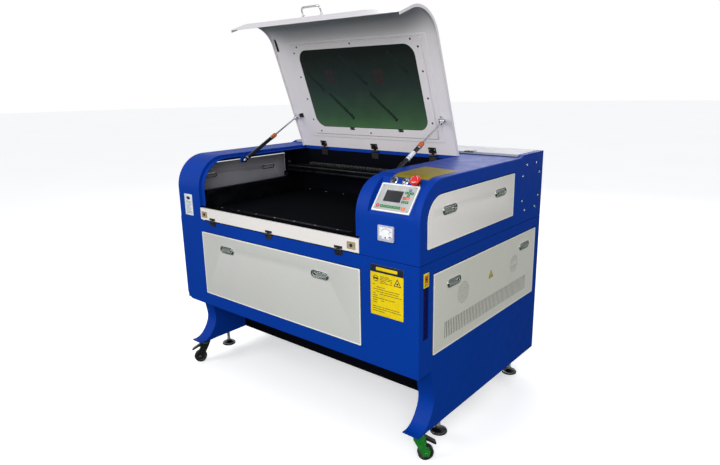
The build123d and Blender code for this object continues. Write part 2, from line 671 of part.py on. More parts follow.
def upright(xc, yc, ang, v):
    """Vertical plane through the caster, v mm to its left side."""
    a = math.radians(ang)
    c, s = math.cos(a), math.sin(a)
    return Plane(origin=(X(xc) - s * v, Y(yc) + c * v, 0), x_dir=(c, s, 0), z_dir=(s, -c, 0))


def fork(xc, yc, ang):
    with BuildSketch(caster_plane(xc, yc, ang, 104)) as head:
        Circle(24)
    extrude(head.sketch, amount=16.5)
    for v in (19.0, -15.5):
        with BuildSketch(upright(xc, yc, ang, v)) as cheek:
            with BuildLine():
                Polyline((-20, 108), (-20, 96), (18, 20), (42, 20), (46, 42), (22, 96), (24, 108), close=True)
            make_face()
        extrude(cheek.sketch, amount=3.5)
    with BuildSketch(caster_plane(xc, yc, ang, 104)) as bridge:
        with Locations((2, 0)):
            Rectangle(44, 38)
    extrude(bridge.sketch, amount=4)
    with BuildSketch(upright(xc, yc, ang, 21.0)) as axle:
        with Locations((TRAIL, WHEEL_R)):
            Circle(5)
    extrude(axle.sketch, amount=42)
    # brake pedal
    with BuildSketch(upright(xc, yc, ang, 13.0)) as pedal:
        with BuildLine():
            Polyline((14, 104), (14, 92), (36, 84), (66, 66), (70, 72), (40, 92), (24, 104), close=True)
        make_face()
    extrude(pedal.sketch, amount=26)
    with Locations((X(xc), Y(yc), 112)):
        Cylinder(6.06, 24, mode=Mode.SUBTRACT)


def wheel(xc, yc, ang):
    with BuildSketch(upright(xc, yc, ang, 12.0)) as disc:
        with Locations((TRAIL, WHEEL_R)):
            Circle(WHEEL_R)
    extrude(disc.sketch, amount=24)
    with BuildSketch(upright(xc, yc, ang, 14.0)) as bore:
        with Locations((TRAIL, WHEEL_R)):
            Circle(5.05)
    extrude(bore.sketch, amount=28, mode=Mode.SUBTRACT)


CASTERS = {"front_left": (35, 50, 225), "front_right": (1365, 50, 45),
           "rear_left": (REAR_CASTER_IN, 940, 120),
           "rear_right": (WIDTH - REAR_CASTER_IN, 940, 75)}

with BuildPart() as front_left_fork:
    fork(*CASTERS["front_left"])
with BuildPart() as front_right_fork:
    fork(*CASTERS["front_right"])
with BuildPart() as rear_left_fork:
    fork(*CASTERS["rear_left"])
with BuildPart() as rear_right_fork:
    fork(*CASTERS["rear_right"])
with BuildPart() as front_left_wheel:
    wheel(*CASTERS["front_left"])
with BuildPart() as front_right_wheel:
    wheel(*CASTERS["front_right"])
with BuildPart() as rear_left_wheel:
    wheel(*CASTERS["rear_left"])
with BuildPart() as rear_right_wheel:
    wheel(*CASTERS["rear_right"])

# ---------------------------------------------------------------------------
# Labels and files
# ---------------------------------------------------------------------------
PARTS = {
    "left_leg": left_leg, "right_leg": right_leg, "cross_panel": cross_panel, "cabinet_floor": cabinet_floor,
    "lower_front_frame": lower_front_frame, "lower_left_side": lower_left_side,
    "lower_right_side": lower_right_side, "back_panel": back_panel, "power_inlet": power_inlet,
    "left_console": left_console, "right_console": right_console, "lid_ledges": lid_ledges,
    "rear_deck": rear_deck, "rear_bulkhead": rear_bulkhead, "left_partition": left_partition,
    "right_partition": right_partition, "laser_tube": laser_tube, "y_rails": y_rails, "lift_posts": lift_posts,
    "work_bed": work_bed, "gantry": gantry, "laser_head": laser_head,
    "lid_shell": lid_shell, "window_pane": window_pane, "window_frame": window_frame, "lid_handle": lid_handle,
    "hinge_bases": hinge_bases, "lid_hinge_leaves": lid_hinge_leaves, "strut_studs": strut_studs,
    "left_strut_tube": left_strut_tube, "left_strut_rod": left_strut_rod,
    "right_strut_tube": right_strut_tube, "right_strut_rod": right_strut_rod,
    "front_flap": front_flap, "flap_hinge_leaves": flap_hinge_leaves,
    "front_door": front_door, "front_door_latches": front_door_latches,
    "right_upper_door": right_upper_door, "right_upper_latches": right_upper_latches,
    "right_lower_door": right_lower_door, "right_lower_latches": right_lower_latches,
    "left_upper_door": left_upper_door, "left_upper_latches": left_upper_latches,
    "left_lower_door": left_lower_door, "left_lower_latches": left_lower_latches,
    "tube_lid": tube_lid, "control_panel": control_panel, "ammeter": ammeter,
    "estop_button": estop_button, "start_button": start_button, "key_switch": key_switch,
    "levelling_feet": levelling_feet,
    "front_left_fork": front_left_fork, "front_right_fork": front_right_fork,
    "rear_left_fork": rear_left_fork, "rear_right_fork": rear_right_fork,
    "front_left_wheel": front_left_wheel, "front_right_wheel": front_right_wheel,
    "rear_left_wheel": rear_left_wheel, "rear_right_wheel": rear_right_wheel,
}
for label, piece in PARTS.items():
    piece.part.label = label
    export_step(piece.part, "parts/" + label + ".step")
print(len(PARTS), "pieces")
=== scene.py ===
import math
import random

import bmesh
import bpy
from mathutils import Matrix, Vector


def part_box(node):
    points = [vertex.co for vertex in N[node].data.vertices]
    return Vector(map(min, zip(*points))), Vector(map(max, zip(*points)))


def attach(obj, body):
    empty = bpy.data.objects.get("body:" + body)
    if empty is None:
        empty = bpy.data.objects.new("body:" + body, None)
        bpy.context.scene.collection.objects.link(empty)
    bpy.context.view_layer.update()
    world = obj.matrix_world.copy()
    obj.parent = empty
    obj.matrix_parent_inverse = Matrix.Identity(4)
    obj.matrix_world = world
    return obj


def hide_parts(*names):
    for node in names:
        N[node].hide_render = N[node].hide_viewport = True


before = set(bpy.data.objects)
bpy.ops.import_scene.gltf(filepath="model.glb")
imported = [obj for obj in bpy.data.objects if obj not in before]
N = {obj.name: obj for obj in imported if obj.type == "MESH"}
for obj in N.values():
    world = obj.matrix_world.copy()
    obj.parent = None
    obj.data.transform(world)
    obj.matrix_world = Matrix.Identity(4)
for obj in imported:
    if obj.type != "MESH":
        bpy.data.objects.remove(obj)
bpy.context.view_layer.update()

random.seed(7)

# Cabinet positions are in millimetres: X from the left face, Y from the front face, Z from the floor.
TO_ROW = Matrix.Diagonal((0.001, 0.001, 0.001, 1.0)) @ Matrix.Translation((-700.0, -515.5, 0.0))


def at(origin, xdir, ydir):
    """A local frame in cabinet millimetres: z is xdir x ydir."""
    x = Vector(xdir).normalized()
    y = Vector(ydir).normalized()
    z = x.cross(y)
    m = Matrix.Identity(4)
    for i in range(3):
        m[i][0], m[i][1], m[i][2], m[i][3] = x[i], y[i], z[i], origin[i]
    return m


def front(x, z, y=0.0):
    return at((x, y, z), (1, 0, 0), (0, 0, 1))


def right(y, z, x=1400.0):
    return at((x, y, z), (0, 1, 0), (0, 0, 1))


def left(y, z, x=0.0):
    return at((x, y, z), (0, -1, 0), (0, 0, 1))


def back(x, z, y=990.0):
    return at((x, y, z), (-1, 0, 0), (0, 0, 1))


def top(x, y, z):
    return at((x, y, z), (1, 0, 0), (0, 1, 0))


SLOPE = math.radians(51.0)
F_ORIGIN = Vector((0.0, 0.0, 945.0))
F_S = Vector((0.0, math.cos(SLOPE), math.sin(SLOPE)))
F_N = Vector((0.0, -math.sin(SLOPE), math.cos(SLOPE)))


def facet(x, s, h=0.0):
    return at(F_ORIGIN + Vector((x, 0, 0)) + F_S * s + F_N * h, (1, 0, 0), F_S)


OPEN = math.radians(70.0)
L_ORIGIN = Vector((0.0, 694.0, 1067.0))
L_D = Vector((0.0, -math.cos(OPEN), math.sin(OPEN)))
L_N = Vector((0.0, -math.sin(OPEN), -math.cos(OPEN)))


def lid(x, a, h=0.0):
    """On the open lid: a runs from the hinge axis along the lid, h out of its inner face."""
    return at(L_ORIGIN + Vector((x, 0, 0)) + L_D * a + L_N * h, (1, 0, 0), L_D)


# ------------------------------------------------------------------ outlines
def arc(cx, cy, r, a0, a1, n):
    return [(cx + r * math.cos(math.radians(a0 + (a1 - a0) * i / n)),
             cy + r * math.sin(math.radians(a0 + (a1 - a0) * i / n))) for i in range(n + 1)]


def rrect(x0, y0, x1, y1, r, n=6):
    """Rounded rectangle; r is one radius or (bottom left, bottom right, top right, top left)."""
    rs = (r,) * 4 if not isinstance(r, tuple) else r
    pts = []
    for (cx, cy, a0), rr in zip((((x0, y0), None, 180), ((x1, y0), None, 270), ((x1, y1), None, 0), ((x0, y1), None, 90)), rs):
        px, py = cx
        if rr <= 0:
            pts.append((px, py))
            continue
        ox = px + rr if a0 in (180, 90) else px - rr
        oy = py + rr if a0 in (180, 270) else py - rr
        k = n if rr < 40 else 2 * n
        pts += arc(ox, oy, rr, a0, a0 + 90, k)
    return pts


def ring(cx, cy, r, n=32):
    return [(cx + r * math.cos(2 * math.pi * i / n), cy + r * math.sin(2 * math.pi * i / n)) for i in range(n)]


def pill(cx, cy, w, h, n=10):
    r = h / 2
    return arc(cx + w / 2 - r, cy, r, -90, 90, n) + arc(cx - w / 2 + r, cy, r, 90, 270, n)


def cross(r, w):
    w = w / 2
    return [(r, -w), (r, w), (w, w), (w, r), (-w, r), (-w, w), (-r, w), (-r, -w), (-w, -w), (-w, -r), (w, -r), (w, -w)]


# ------------------------------------------------------------------ meshes, in local millimetres
def plate(loops, z0, z1, bevel=0.0, res=2):
    """A flat plate with holes and rolled edges. The first loop is the outline."""
    cu = bpy.data.curves.new("tmp", "CURVE")
    cu.dimensions = "2D"
    cu.fill_mode = "BOTH"
    for pts in loops:
        sp = cu.splines.new("POLY")
        sp.points.add(len(pts) - 1)
        for p, (x, y) in zip(sp.points, pts):
            p.co = (x, y, 0, 1)
        sp.use_cyclic_u = True
    cu.extrude = max((z1 - z0) / 2 - bevel, 0.0)
    cu.bevel_depth = bevel
    cu.bevel_resolution = res
    cu.offset = -bevel
    ob = bpy.data.objects.new("tmp", cu)
    bpy.context.scene.collection.objects.link(ob)
    bpy.context.view_layer.update()
    me = bpy.data.meshes.new_from_object(ob)
    bpy.data.objects.remove(ob)
    bpy.data.curves.remove(cu)
    me.transform(Matrix.Translation((0, 0, (z0 + z1) / 2)))
    bm = bmesh.new()
    bm.from_mesh(me)
    bpy.data.meshes.remove(me)
    bmesh.ops.remove_doubles(bm, verts=bm.verts, dist=1e-4)
    bmesh.ops.recalc_face_normals(bm, faces=bm.faces)
    return bm


def lathe(profile, n=40):
    """Turned about z. The profile is (r, z) pairs; ends at r = 0 are closed with a point, and a profile that returns to its start is an open ring."""
    bm = bmesh.new()
    rows = []
    ring_shape = tuple(profile[0]) == tuple(profile[-1]) and profile[0][0] > 1e-6
    for r, z in (profile[:-1] if ring_shape else profile):
        if r <= 1e-6:
            rows.append([bm.verts.new((0, 0, z))])
        else:
            rows.append([bm.verts.new((r * math.cos(2 * math.pi * i / n), r * math.sin(2 * math.pi * i / n), z)) for i in range(n)])
    if ring_shape:
        rows.append(rows[0])
    for a, b in zip(rows, rows[1:]):
        for i in range(n):
            j = (i + 1) % n
            if len(a) == 1 and len(b) == 1:
                continue
            if len(a) == 1:
                bm.faces.new((a[0], b[i], b[j]))
            elif len(b) == 1:
                bm.faces.new((a[j], a[i], b[0]))
            else:
                bm.faces.new((a[j], a[i], b[i], b[j]))
    if len(rows[0]) > 1 and not ring_shape:
        bm.faces.new(rows[0])
    if len(rows[-1]) > 1 and not ring_shape:
        bm.faces.new(list(reversed(rows[-1])))
    bmesh.ops.recalc_face_normals(bm, faces=bm.faces)
    return bm


def sweep(path, r, n=12, squash=1.0):
    """A round bar along a line of points."""
    pts = [Vector(p) for p in path]
    bm = bmesh.new()
    tan = [(pts[min(i + 1, len(pts) - 1)] - pts[max(i - 1, 0)]).normalized() for i in range(len(pts))]
    ref = Vector((0, 0, 1)) if abs(tan[0].z) < 0.9 else Vector((1, 0, 0))
    u = tan[0].cross(ref).normalized()
    rows = []
    for p, t in zip(pts, tan):
        u = (u - t * u.dot(t)).normalized()
        v = t.cross(u)
        rows.append([bm.verts.new(p + u * (r * math.cos(2 * math.pi * k / n)) + v * (r * squash * math.sin(2 * math.pi * k / n))) for k in range(n)])
    for a, b in zip(rows, rows[1:]):
        for i in range(n):
            j = (i + 1) % n
            bm.faces.new((a[i], a[j], b[j], b[i]))
    bm.faces.new(list(reversed(rows[0])))
    bm.faces.new(rows[-1])
    bmesh.ops.recalc_face_normals(bm, faces=bm.faces)
    return bm


def block(x0, y0, z0, x1, y1, z1, b=0.8, seg=2):
    """A block with rolled edges."""
    bm = bmesh.new()
    bmesh.ops.create_cube(bm, size=1.0)
    for v in bm.verts:
        v.co = Vector(((x0 + x1) / 2 + v.co.x * (x1 - x0), (y0 + y1) / 2 + v.co.y * (y1 - y0), (z0 + z1) / 2 + v.co.z * (z1 - z0)))
    if b > 0:
        bmesh.ops.bevel(bm, geom=list(bm.edges), offset=b, segments=seg, affect="EDGES", profile=0.6)
    bmesh.ops.recalc_face_normals(bm, faces=bm.faces)
    return bm


def dome(r, h, z0=0.0, rim=0.0, n=32, k=7):
    """A button cap: a straight rim and a crowned top."""
    prof = [(r, z0), (r, z0 + rim)]
    for i in range(1, k + 1):
        t = i / k
        prof.append((r * math.cos(t * math.pi / 2), z0 + rim + (h - rim) * math.sin(t * math.pi / 2)))
    prof[-1] = (0.0, z0 + h)
    return lathe([(0.0, z0)] + prof, n)


class Piece:
    """One visible piece: sub-meshes in local frames, each with its material, joined into one mesh."""

    def __init__(self, name, body, slot=None, crease=32):
        self.name, self.body, self.slot, self.crease = name, body, slot, crease
        self.bm = bmesh.new()
        self.mats = []

    def add(self, bm, mat, m=None):
        if mat not in self.mats:
            self.mats.append(mat)
        index = self.mats.index(mat)
        if m is not None:
            bm.transform(m)
        for f in bm.faces:
            f.material_index = index
        me = bpy.data.meshes.new("tmp")
        bm.to_mesh(me)
        bm.free()
        self.bm.from_mesh(me)
        bpy.data.meshes.remove(me)
        return self

    def done(self, *replaced):
        me = bpy.data.meshes.new(self.name)
        self.bm.to_mesh(me)
        self.bm.free()
        me.transform(TO_ROW)
        for f in me.polygons:
            f.use_smooth = True
        me.set_sharp_from_angle(angle=math.radians(self.crease))
        for m in self.mats:
            me.materials.append(m)
        ob = bpy.data.objects.new(self.name, me)
        bpy.context.scene.collection.objects.link(ob)
        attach(ob, self.body)
        if replaced:
            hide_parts(*replaced)
        return ob


# ------------------------------------------------------------------ materials
def srgb(r, g, b):
    def f(c):
        c /= 255.0
        return c / 12.92 if c <= 0.04045 else ((c + 0.055) / 1.055) ** 2.4
    return (f(r), f(g), f(b), 1.0)


class Mat:
    """A small helper round a node tree that ends in one Principled shader."""

    def __init__(self, name):
        self.m = bpy.data.materials.new(name)
        self.m.use_nodes = True
        self.t = self.m.node_tree
        self.n = self.t.nodes
        self.p = self.n["Principled BSDF"]
        tc = self.n.new("ShaderNodeTexCoord")
        self.co = tc.outputs["Object"]

    def link(self, a, b):
        self.t.links.new(a, b)

    def mapped(self, scale=(1, 1, 1), loc=(0, 0, 0), rot=(0, 0, 0)):
        n = self.n.new("ShaderNodeMapping")
        n.inputs["Scale"].default_value = scale
        n.inputs["Location"].default_value = loc
        n.inputs["Rotation"].default_value = rot
        self.link(self.co, n.inputs["Vector"])
        return n.outputs["Vector"]

    def noise(self, scale, detail=3.0, rough=0.55, vec=None):
        n = self.n.new("ShaderNodeTexNoise")
        n.inputs["Scale"].default_value = scale
        n.inputs["Detail"].default_value = detail
        n.inputs["Roughness"].default_value = rough
        self.link(vec if vec is not None else self.co, n.inputs["Vector"])
        return n.outputs["Fac"]

    def ramp(self, fac, stops, interp="LINEAR"):
        n = self.n.new("ShaderNodeValToRGB")
        n.color_ramp.interpolation = interp
        e = n.color_ramp.elements
        while len(e) > 1:
            e.remove(e[-1])
        e[0].position, e[0].color = stops[0][0], stops[0][1]
        for pos, col in stops[1:]:
            x = e.new(pos)
            x.color = col
        self.link(fac, n.inputs["Fac"])
        return n.outputs["Color"]

    def span(self, fac, a, b, lo=0.0, hi=1.0):
        n = self.n.new("ShaderNodeMapRange")
        n.inputs["From Min"].default_value = lo
        n.inputs["From Max"].default_value = hi
        n.inputs["To Min"].default_value = a
        n.inputs["To Max"].default_value = b
        self.link(fac, n.inputs["Value"])
        return n.outputs["Result"]

    def math(self, op, a, b=None, c=None):
        n = self.n.new("ShaderNodeMath")
        n.operation = op
        for i, v in enumerate((a, b, c)):
            if v is None:
                continue
            if isinstance(v, (int, float)):
                n.inputs[i].default_value = v
            else:
                self.link(v, n.inputs[i])
        return n.outputs[0]

    def mix(self, fac, a, b, kind="MIX"):
        n = self.n.new("ShaderNodeMix")
        n.data_type = "RGBA"
        n.blend_type = kind
        n.clamp_factor = True
        for sock, v in ((n.inputs["Factor"], fac), (n.inputs["A"], a), (n.inputs["B"], b)):
            pass
        sockets = [s for s in n.inputs if s.enabled]
        f = n.inputs[0]
        A, B = n.inputs[6], n.inputs[7]
        for sock, v in ((f, fac), (A, a), (B, b)):
            if isinstance(v, (int, float)):
                sock.default_value = v
            elif isinstance(v, tuple):
                sock.default_value = v
            else:
                self.link(v, sock)
        return n.outputs[2]

    def edge(self, radius=0.0014, samples=4):
        """1 on sharp edges, 0 on flat faces."""
        bev = self.n.new("ShaderNodeBevel")
        bev.samples = samples
        bev.inputs["Radius"].default_value = radius
        geo = self.n.new("ShaderNodeNewGeometry")
        dot = self.n.new("ShaderNodeVectorMath")
        dot.operation = "DOT_PRODUCT"
        self.link(bev.outputs["Normal"], dot.inputs[0])
        self.link(geo.outputs["Normal"], dot.inputs[1])
        return bev.outputs["Normal"], self.math("SUBTRACT", 1.0, dot.outputs["Value"])

    def bump(self, height, strength, distance, normal=None):
        n = self.n.new("ShaderNodeBump")
        n.inputs["Strength"].default_value = strength
        n.inputs["Distance"].default_value = distance
        self.link(height, n.inputs["Height"])
        if normal is not None:
            self.link(normal, n.inputs["Normal"])
        return n.outputs["Normal"]

    def out(self, base=None, rough=None, normal=None, **sockets):
        names = {"metal": "Metallic", "ior": "IOR", "coat": "Coat Weight", "coat_rough": "Coat Roughness",
                 "spec": "Specular IOR Level", "trans": "Transmission Weight", "alpha": "Alpha",
                 "aniso": "Anisotropic", "sss": "Subsurface Weight", "emit": "Emission Strength", "sheen": "Sheen Weight"}
        for sock, v in (("Base Color", base), ("Roughness", rough)):
            if v is None:
                continue
            if isinstance(v, (int, float, tuple)):
                self.p.inputs[sock].default_value = v
            else:
                self.link(v, self.p.inputs[sock])
        if normal is not None:
            self.link(normal, self.p.inputs["Normal"])
        for k, v in sockets.items():
            if k == "emit_color":
                self.p.inputs["Emission Color"].default_value = v
            else:
                self.p.inputs[names[k]].default_value = v
        return self.m


def scaled(c, k):
    return (min(c[0] * k, 1), min(c[1] * k, 1), min(c[2] * k, 1), 1.0)


def paint(name, col, rough=0.34, peel=0.10, wear_and_edge_highlight=0.25, vary=0.10, coat=0.25, grime=0.10, wear_and_edge_highlight_col=None, edge_r=0.0013, shift=None, spec=0.35):
    """Powder coat: slow colour drift, fine orange peel, smudged gloss, and folded edges lightened in broken patches:
    wear where the colour turns to bare metal, a painted edge highlight where it is a brighter copy of the paint.
    """
    M = Mat(name)
    slow = M.noise(2.6, 3.0)
    fine = M.noise(260.0, 2.0)
    smudge = M.noise(17.0, 5.0, 0.62)
    base = M.ramp(slow, [(0.28, scaled(col, 1 - vary)), (0.72, scaled(col, 1 + vary))])
    if shift is not None:
        base = M.mix(M.span(M.noise(1.3, 2.0), 0.0, 0.55, 0.35, 0.7), base, shift)
    base = M.mix(M.span(smudge, 0.0, grime, 0.45, 0.85), base, scaled(col, 0.55))
    speck = M.ramp(M.noise(900.0, 1.0), [(0.33, (0.90, 0.90, 0.90, 1)), (0.5, (1, 1, 1, 1)), (0.68, (1.0, 1.0, 1.0, 1))])
    base = M.mix(1.0, base, speck, "MULTIPLY")
    nrm, edge = M.edge(edge_r)
    # edges lightened in patches: partly wear, partly a painted edge highlight
    wear_and_highlight_mask = M.math("MULTIPLY", M.span(edge, 0.0, 1.0, 0.02, 0.30), M.span(M.noise(70.0, 4.0, 0.7), 0.0, 1.0, 0.38, 0.66))
    base = M.mix(M.math("MULTIPLY", wear_and_highlight_mask, wear_and_edge_highlight), base, wear_and_edge_highlight_col or scaled(col, 1.9))
    r = M.math("ADD", M.span(smudge, rough - 0.07, rough + 0.09, 0.3, 0.75), M.math("MULTIPLY", fine, 0.03))
    normal = M.bump(fine, peel, 0.0004, M.bump(M.noise(6.0, 1.0), 0.06, 0.004, nrm))
    return M.out(base, r, normal, coat=coat, coat_rough=0.12, spec=spec)


def metal(name, col, rough=0.22, brush=None, scratch=0.3, grime=0.18, edge_r=0.0006):
    """Plated or machined metal: brushed grain, fine scratches, dull patches, edges lightened as a painted highlight."""
    M = Mat(name)
    sc = brush or (60, 60, 60)
    grain = M.noise(14.0, 4.0, 0.7, M.mapped(scale=sc))
    patch = M.noise(24.0, 4.0, 0.6)
    base = M.ramp(patch, [(0.25, scaled(col, 0.80)), (0.75, scaled(col, 1.06))])
    base = M.mix(M.span(grain, 0.0, scratch, 0.4, 0.9), base, scaled(col, 0.62))
    base = M.mix(M.span(M.noise(9.0, 5.0, 0.7), 0.0, grime, 0.5, 0.85), base, (0.05, 0.045, 0.04, 1))
    nrm, edge = M.edge(edge_r)
    # sharp edges lightened: a painted edge highlight
    base = M.mix(M.span(edge, 0.0, 0.45, 0.03, 0.3), base, scaled(col, 1.3))
    r = M.math("ADD", M.span(patch, rough * 0.75, rough * 1.35, 0.25, 0.75), M.math("MULTIPLY", grain, 0.07))
    return M.out(base, r, M.bump(grain, 0.10, 0.0002, nrm), metal=1.0)


def plastic(name, col, rough=0.42, grain=0.18, grain_scale=420.0, vary=0.08, dust=0.12, dust_col=(0.32, 0.31, 0.30, 1), wear_and_edge_highlight=0.3, coat=0.0, edge_r=0.0007, sss=0.0, spec=0.5):
    """Moulded plastic: fine spark-erosion grain, handled gloss, dust in the low spots, rubbed edges lightened to a
    brighter copy of the colour, partly a painted edge highlight.
    """
    M = Mat(name)
    slow = M.noise(30.0, 3.0)
    g = M.noise(grain_scale, 2.0)
    smudge = M.noise(55.0, 5.0, 0.65)
    base = M.ramp(slow, [(0.3, scaled(col, 1 - vary)), (0.7, scaled(col, 1 + vary))])
    base = M.mix(M.span(smudge, 0.0, dust, 0.45, 0.85), base, dust_col)
    nrm, edge = M.edge(edge_r)
    # edges lightened: rubbed wear, partly a painted edge highlight
    base = M.mix(M.math("MULTIPLY", M.span(edge, 0.0, 1.0, 0.03, 0.35), wear_and_edge_highlight), base, scaled((col[0] + 0.02, col[1] + 0.02, col[2] + 0.02, 1), 1.7))
    r = M.span(smudge, rough - 0.08, rough + 0.12, 0.3, 0.8)
    return M.out(base, r, M.bump(g, grain, 0.00025, nrm), coat=coat, coat_rough=0.1, sss=sss, spec=spec)


BLUE = srgb(6, 56, 156)
WHITE = srgb(203, 202, 199)
m_blue = paint("blue_powder_coat", BLUE, rough=0.42, coat=0.0, vary=0.07, wear_and_edge_highlight=0.15, wear_and_edge_highlight_col=srgb(60, 100, 190), shift=srgb(4, 58, 150), spec=0.07)
m_white = paint("white_powder_coat", WHITE, rough=0.40, coat=0.05, vary=0.03, wear_and_edge_highlight=0.5, wear_and_edge_highlight_col=srgb(250, 250, 250), shift=srgb(196, 200, 192), grime=0.06)
# Lighter copies of the white paint, as painted light: the upper side doors and the flap brightest, the lower side doors
# a little less, all lighter than the front door's white.
m_white_lit_upper = paint("white_powder_coat_upper_painted_light", srgb(238, 233, 229), rough=0.40, coat=0.05, vary=0.03, wear_and_edge_highlight=0.5, wear_and_edge_highlight_col=srgb(250, 250, 250), shift=srgb(230, 226, 221), grime=0.06)
m_white_lit_lower = paint("white_powder_coat_lower_painted_light", srgb(224, 222, 214), rough=0.40, coat=0.05, vary=0.04, wear_and_edge_highlight=0.5, wear_and_edge_highlight_col=srgb(250, 250, 250), shift=srgb(206, 206, 192), grime=0.08)
m_flap_lit = paint("flap_powder_coat_painted_light", srgb(236, 231, 228), rough=0.38, coat=0.1, vary=0.03, wear_and_edge_highlight=0.5, wear_and_edge_highlight_col=srgb(255, 255, 255), grime=0.05)
# A brighter white for the door rim strips, a painted highlight along the folded edge; it also serves for the keypad
# frame and printed marks on the keys and the e-stop head.
m_rim_highlight_and_print = paint("white_rim_highlight_and_print", srgb(240, 240, 238), rough=0.34, coat=0.2, vary=0.02, wear_and_edge_highlight=0.2, grime=0.05)
m_lid = paint("lid_powder_coat", srgb(230, 225, 229), rough=0.36, coat=0.2, vary=0.03, wear_and_edge_highlight=0.5, wear_and_edge_highlight_col=srgb(255, 255, 255), grime=0.05)
m_black = paint("black_powder_coat", srgb(24, 25, 28), rough=0.48, coat=0.05, vary=0.18, wear_and_edge_highlight=0.3, wear_and_edge_highlight_col=srgb(90, 90, 96))
# Near-black paint for blue panels that sit in shadow: painted shade.
m_shade_dark = paint("painted_shade_near_black", srgb(10, 11, 18), rough=0.6, coat=0.0, vary=0.2, wear_and_edge_highlight=0.3, wear_and_edge_highlight_col=srgb(16, 18, 34), spec=0.02)
# The blue paint darkened to navy for the side recess: painted shade.
m_navy_shade = paint("navy_recess_painted_shade", srgb(10, 18, 84), rough=0.5, coat=0.0, vary=0.2, wear_and_edge_highlight=0.2, spec=0.2)
m_latch = plastic("latch_grey_plate", srgb(138, 144, 138), rough=0.34, coat=0.15, dust=0.25, dust_col=srgb(70, 78, 70))
m_tubelid = paint("tube_lid_powder_coat", srgb(160, 164, 172), rough=0.40, coat=0.05, vary=0.03, wear_and_edge_highlight=0.5, wear_and_edge_highlight_col=srgb(240, 240, 240), grime=0.10)
# The white paint darkened to grey for the inside of the left upper door: painted shade.
m_inner_white_shade = paint("white_inner_face_painted_shade", srgb(150, 148, 156), rough=0.55, coat=0.0, vary=0.06, wear_and_edge_highlight=0.2, grime=0.2)
m_hinge = plastic("black_hinge_plastic", srgb(14, 14, 15), rough=0.38, wear_and_edge_highlight=0.3, dust=0.10)
m_chrome = metal("chrome_plate", srgb(222, 224, 226), rough=0.10, scratch=0.12, grime=0.05)
m_steel = metal("zinc_steel", srgb(176, 178, 180), rough=0.30, scratch=0.3, grime=0.12)
m_rod = metal("polished_rod", srgb(205, 207, 212), rough=0.12, brush=(30, 300, 300), scratch=0.15, grime=0.04)
m_tube = paint("strut_black_paint", srgb(12, 12, 13), rough=0.26, coat=0.5, vary=0.15, wear_and_edge_highlight=0.5, wear_and_edge_highlight_col=srgb(80, 80, 80))
m_rail = metal("anodised_rail", srgb(58, 60, 68), rough=0.34, brush=(8, 220, 220), scratch=0.3, grime=0.25)
m_beam = metal("black_anodised_beam", srgb(20, 21, 28), rough=0.38, brush=(8, 220, 220), scratch=0.3, grime=0.2)
m_bed = metal("bed_alloy", srgb(70, 72, 78), rough=0.45, scratch=0.4, grime=0.5)
m_brass = metal("brass", srgb(196, 158, 84), rough=0.25)
m_inlet = plastic("inlet_plastic", srgb(18, 18, 19), rough=0.45)
m_panelgrey = plastic("panel_bezel_plastic", srgb(226, 227, 230), rough=0.32, coat=0.2, dust=0.05, dust_col=srgb(150, 150, 150))
m_keyboard = plastic("keypad_film", srgb(176, 178, 176), rough=0.40, grain=0.10, grain_scale=700, dust=0.06, dust_col=srgb(130, 130, 130))
m_meter = plastic("meter_clear_housing", srgb(188, 190, 205), rough=0.18, grain=0.04, coat=0.6, dust=0.06, dust_col=srgb(150, 150, 160))
m_dial = plastic("meter_dial_card", srgb(240, 240, 244), rough=0.5, grain=0.04, dust=0.05, dust_col=srgb(200, 200, 205))
m_red = plastic("red_button_plastic", srgb(206, 16, 20), rough=0.30, coat=0.3, grain=0.08, dust=0.05, dust_col=srgb(120, 10, 12), wear_and_edge_highlight=0.15)
m_knob = plastic("black_knob_plastic", srgb(16, 18, 26), rough=0.30, coat=0.25)
m_green = plastic("green_key", srgb(12, 120, 62), rough=0.42, grain=0.12, dust=0.05)
m_bluekey = plastic("blue_key", srgb(20, 110, 150), rough=0.42, grain=0.12, dust=0.05)
m_redkey = plastic("red_key", srgb(205, 38, 44), rough=0.42, grain=0.12, dust=0.05)
m_orange = plastic("orange_key", srgb(232, 106, 60), rough=0.42, grain=0.12, dust=0.05)
m_collar = plastic("orange_strut_collar", srgb(196, 92, 34), rough=0.36, wear_and_edge_highlight=0.2)
m_label = plastic("white_label_film", srgb(222, 226, 230), rough=0.35, grain=0.05, dust=0.06, dust_col=srgb(170, 175, 180), wear_and_edge_highlight=0.05)
m_ink = plastic("label_dark_ink", srgb(26, 32, 52), rough=0.4, grain=0.05, wear_and_edge_highlight=0.0, dust=0.02)
m_inkgrey = plastic("label_grey_ink", srgb(120, 130, 140), rough=0.4, grain=0.05, wear_and_edge_highlight=0.0, dust=0.02)
m_yellow = plastic("yellow_label_film", srgb(236, 206, 10), rough=0.36, grain=0.05, coat=0.15, dust=0.05, dust_col=srgb(200, 170, 20), wear_and_edge_highlight=0.05)
m_olive = plastic("olive_label_film", srgb(140, 122, 20), rough=0.45, grain=0.05, coat=0.0, spec=0.1, dust=0.12, dust_col=srgb(120, 116, 50), wear_and_edge_highlight=0.05)
m_olive_ink = plastic("olive_label_ink", srgb(112, 98, 34), rough=0.4, grain=0.05, wear_and_edge_highlight=0.0, dust=0.02)
m_plug = plastic("tan_lock_plate", srgb(168, 150, 120), rough=0.35, coat=0.2, dust=0.1)
m_greenpaint = paint("green_fork_enamel", srgb(28, 120, 40), rough=0.28, coat=0.4, vary=0.15, wear_and_edge_highlight=0.9, wear_and_edge_highlight_col=srgb(150, 160, 140))


